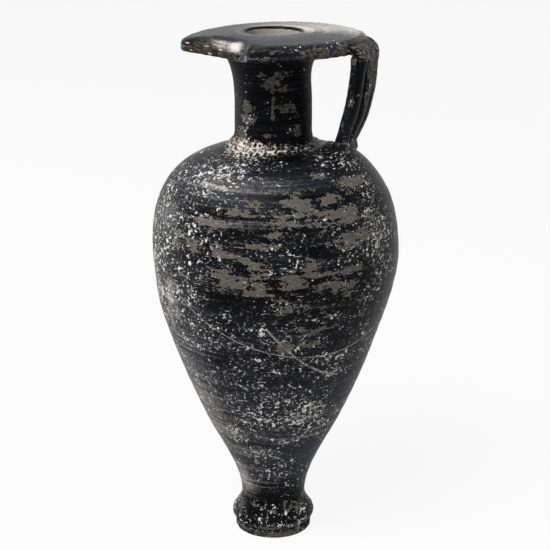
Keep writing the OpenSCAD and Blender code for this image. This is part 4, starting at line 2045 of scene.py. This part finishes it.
@dataclass
class TopLuting:
    """Clay smoothed over the top of the strap against the edge of the disc."""

    inner_x: float = 19.8
    outer_x: float = 26.7
    half_width: float = 8.5
    start: float = 139.6
    seat: float = 137.0
    tip: float = 135.0
    tongue: float = 3.6
    sides: int = 64
    rings: int = 56
    middle: Point = (24.6, 137.4)

    def section(self, y: float) -> Profile:
        """Section of the clay across the strap.

        Args:
            y: Distance from the strap's middle.

        Returns:
            Place out from the axis and height of each point, once round.
        """
        half = self.sides // 2
        middle = smoothstep(-3.0, 0.5, y) * (1.0 - smoothstep(3.5, 7.5, y))
        low = self.tip - self.tongue * middle + 0.8 * grit(y, 4.0, 9.0, 0.6)
        end = (self.outer_x, low)
        over = bezier(end, (27.7, 137.2), (23.6, 141.2), (self.inner_x, self.start), half)
        under = bezier((self.inner_x, self.seat), (24.0, self.seat), (25.6, 135.6), end, half)
        return over + under[1:-1]

    def settle(self, bm: bmesh.types.BMesh) -> None:
        """Smooth a straight bar over the top of the strap.

        Args:
            bm: The bar.
        """
        middle_x, middle_z = self.middle
        for vert in bm.verts:
            u, v, share = vert.co
            across = 2.0 * share - 1.0
            y = self.half_width * across
            soft = max(0.02, 1.0 - abs(across) ** 10) ** 0.5
            step = round(math.atan2(v, u) / math.tau * self.sides) % self.sides
            x, z = self.section(y)[step]
            x = middle_x + (x - middle_x) * soft
            z = middle_z + (z - middle_z) * soft
            outer = smoothstep(21.0, 26.0, x)
            lump = 0.30 * grit(x, y, z, 0.45) + 0.18 * grit(x, y, z, 1.4)
            bend = (1.0 - outer) * 0.5 * y * y / self.outer_x
            vert.co = Vector((x - bend + 0.4 * lump, y + 0.3 * lump, z + (1.0 - 0.6 * outer) * lump))

    def build(self) -> bpy.types.Object:
        """Build and dress the clay over the strap's top.

        Returns:
            The piece.
        """
        bm = bar(self.sides, self.rings)
        self.settle(bm)
        finish = SlipFinish("black_slip_strap_top", grain=Grain.PRESSED, specks=-0.05,
                            unrolled=False, worn_deep=(0.040, 0.034, 0.028),
                            worn_pale=(0.150, 0.130, 0.108))
        return seated(bm, "handle_top_luting", finish, {
            Layer.WORN: lambda at: 0.46 + 0.30 * at.ease(136.0, 133.5, at.height),
            Layer.RUBBED: evenly(0.2)})


@dataclass(frozen=True)
class PhotoCamera:
    """Camera at the photograph's place, as if on a tripod before the pot."""

    side: float = 128.94
    front: float = -373.05
    height: float = 201.7
    turn: float = 19.0
    pitch: float = 17.9
    lens: float = 99.7

    def build(self) -> bpy.types.Object:
        """Make the camera and give it to the scene.

        Returns:
            The camera.
        """
        data = bpy.data.cameras.new("tripod_camera")
        data.lens = self.lens
        data.sensor_width = 36.0
        data.clip_start = 0.01
        camera = bpy.data.objects.new("tripod_camera", data)
        camera.location = (self.side * MM, self.front * MM, self.height * MM)
        camera.rotation_euler = Euler((math.radians(90.0 - self.pitch), 0.0,
                                       math.radians(self.turn)))
        bpy.context.scene.collection.objects.link(camera)
        bpy.context.scene.camera = camera
        return camera


@dataclass(frozen=True)
class SoftBox:
    """Flat soft lamp that looks at the pot.

    Attributes:
        name: Name of the lamp.
        azimuth: Direction of the lamp from the pot.
        elevation: Its height above the horizon in degrees.
        distance: Its distance from the pot.
        size: Width and height of its face in metres.
        power: Its power in watts.
    """

    name: str
    azimuth: float
    elevation: float
    distance: float
    size: Point
    power: float

    def build(self, aim: Vector) -> bpy.types.Object:
        """Place the lamp.

        Args:
            aim: Point that it looks at, in metres.

        Returns:
            The lamp.
        """
        data = bpy.data.lights.new(self.name, "AREA")
        data.shape = "RECTANGLE"
        data.size, data.size_y = self.size
        data.energy = self.power
        lamp = bpy.data.objects.new(self.name, data)
        turn, rise = math.radians(self.azimuth), math.radians(self.elevation)
        away = Vector((math.cos(turn) * math.cos(rise), math.sin(turn) * math.cos(rise),
                       math.sin(rise)))
        lamp.location = aim + away * self.distance
        lamp.rotation_euler = away.to_track_quat("Z", "Y").to_euler()
        bpy.context.scene.collection.objects.link(lamp)
        return lamp


def wired(tree: bpy.types.NodeTree, kind: str, *sources: bpy.types.Node | Socket) -> bpy.types.Node:
    """Make a node and link its first inputs.

    Args:
        tree: The tree that it goes into.
        kind: Kind of the node, without its usual first word.
        sources: What feeds its inputs, in their order; a node gives its first output.

    Returns:
        The node.
    """
    node = tree.nodes.new("ShaderNode" + kind)
    for source, socket in zip(sources, node.inputs):
        tree.links.new(source.outputs[0] if isinstance(source, bpy.types.Node) else source, socket)
    return node


@dataclass(frozen=True)
class Studio:
    """Pale floor, soft lamps and a white surround."""

    floor_size: float = 4.0
    floor_gap: float = 0.0002
    floor_shade: float = 0.80
    surround: float = 0.27
    glow: float = 0.91
    aim_height: float = 75.0
    lamps: tuple[SoftBox, ...] = (
        SoftBox("overhead_softbox", 250.0, 58.0, 0.75, (0.40, 0.30), 5.0),
        SoftBox("left_softbox", 171.0, -1.0, 0.8, (0.22, 0.36), 4.2),
        SoftBox("right_softbox", 30.0, 0.0, 0.9, (0.2, 0.3), 1.0),
    )

    def seen_directly(self, tree: bpy.types.NodeTree) -> bpy.types.Node:
        """Share that is 1 for rays from the camera, a gloss or a glass.

        Args:
            tree: The tree that it goes into.

        Returns:
            The node that gives the share.
        """
        path = wired(tree, "LightPath").outputs
        seen = wired(tree, "Math", path["Is Camera Ray"], path["Is Glossy Ray"])
        seen.operation = "MAXIMUM"
        seen = wired(tree, "Math", seen, path["Is Transmission Ray"])
        seen.operation = "MAXIMUM"
        return seen

    def build_surround(self) -> None:
        """Light the pot evenly and show a white surround behind it."""
        world = bpy.data.worlds.new("white_surround")
        bpy.context.scene.world = world
        world.use_nodes = True
        tree = world.node_tree
        tree.nodes.clear()
        lit, white = (wired(tree, "Background") for _ in range(2))
        for light, strength in ((lit, self.surround), (white, 1.0)):
            light.inputs["Color"].default_value = WHITE
            light.inputs["Strength"].default_value = strength
        wired(tree, "OutputWorld", wired(tree, "MixShader", self.seen_directly(tree), lit, white))

    def paper(self) -> bpy.types.Material:
        """Pale paper that takes a shadow but looks nearly white.

        Returns:
            The material.
        """
        material = bpy.data.materials.new("pale_paper")
        material.use_nodes = True
        tree = material.node_tree
        tree.nodes.clear()
        paper = wired(tree, "BsdfDiffuse")
        paper.inputs["Color"].default_value = (*(self.floor_shade,) * 3, 1.0)
        glow = wired(tree, "Emission")
        glow.inputs["Strength"].default_value = 1.0
        share = wired(tree, "Math", self.seen_directly(tree))
        share.operation = "MULTIPLY"
        share.inputs[1].default_value = self.glow
        wired(tree, "OutputMaterial", wired(tree, "MixShader", share, paper, glow))
        return material

    def build_floor(self) -> bpy.types.Object:
        """Lay the pale floor.

        Returns:
            The floor.
        """
        bm = bmesh.new()
        bmesh.ops.create_grid(bm, x_segments=1, y_segments=1, size=self.floor_size / 2.0)
        mesh = bpy.data.meshes.new("pale_floor")
        bm.to_mesh(mesh)
        bm.free()
        mesh.materials.append(self.paper())
        floor = bpy.data.objects.new("pale_floor", mesh)
        floor.location.z = -self.floor_gap
        bpy.context.scene.collection.objects.link(floor)
        return floor

    def build(self) -> None:
        """Set up the surround, the floor and the lamps."""
        aim = Vector((0.0, 0.0, self.aim_height * MM))
        self.build_surround()
        self.build_floor()
        for lamp in self.lamps:
            lamp.build(aim)


def main() -> None:
    """Build the camera, the pot's pieces and the studio."""
    logging.basicConfig(level=logging.INFO, format="%(name)s: %(message)s")
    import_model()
    PhotoCamera().build()
    strap = Strap()
    Body().build()
    Foot().build()
    Neck().build()
    MouthDisc().build()
    for place in RollPlace:
        strap.build(place)
    NeckLuting().build()
    FootLuting(strap).build()
    TopLuting().build()
    Studio().build()
    bpy.context.scene.view_settings.view_transform = "Standard"


if __name__ == "__main__":
    main()
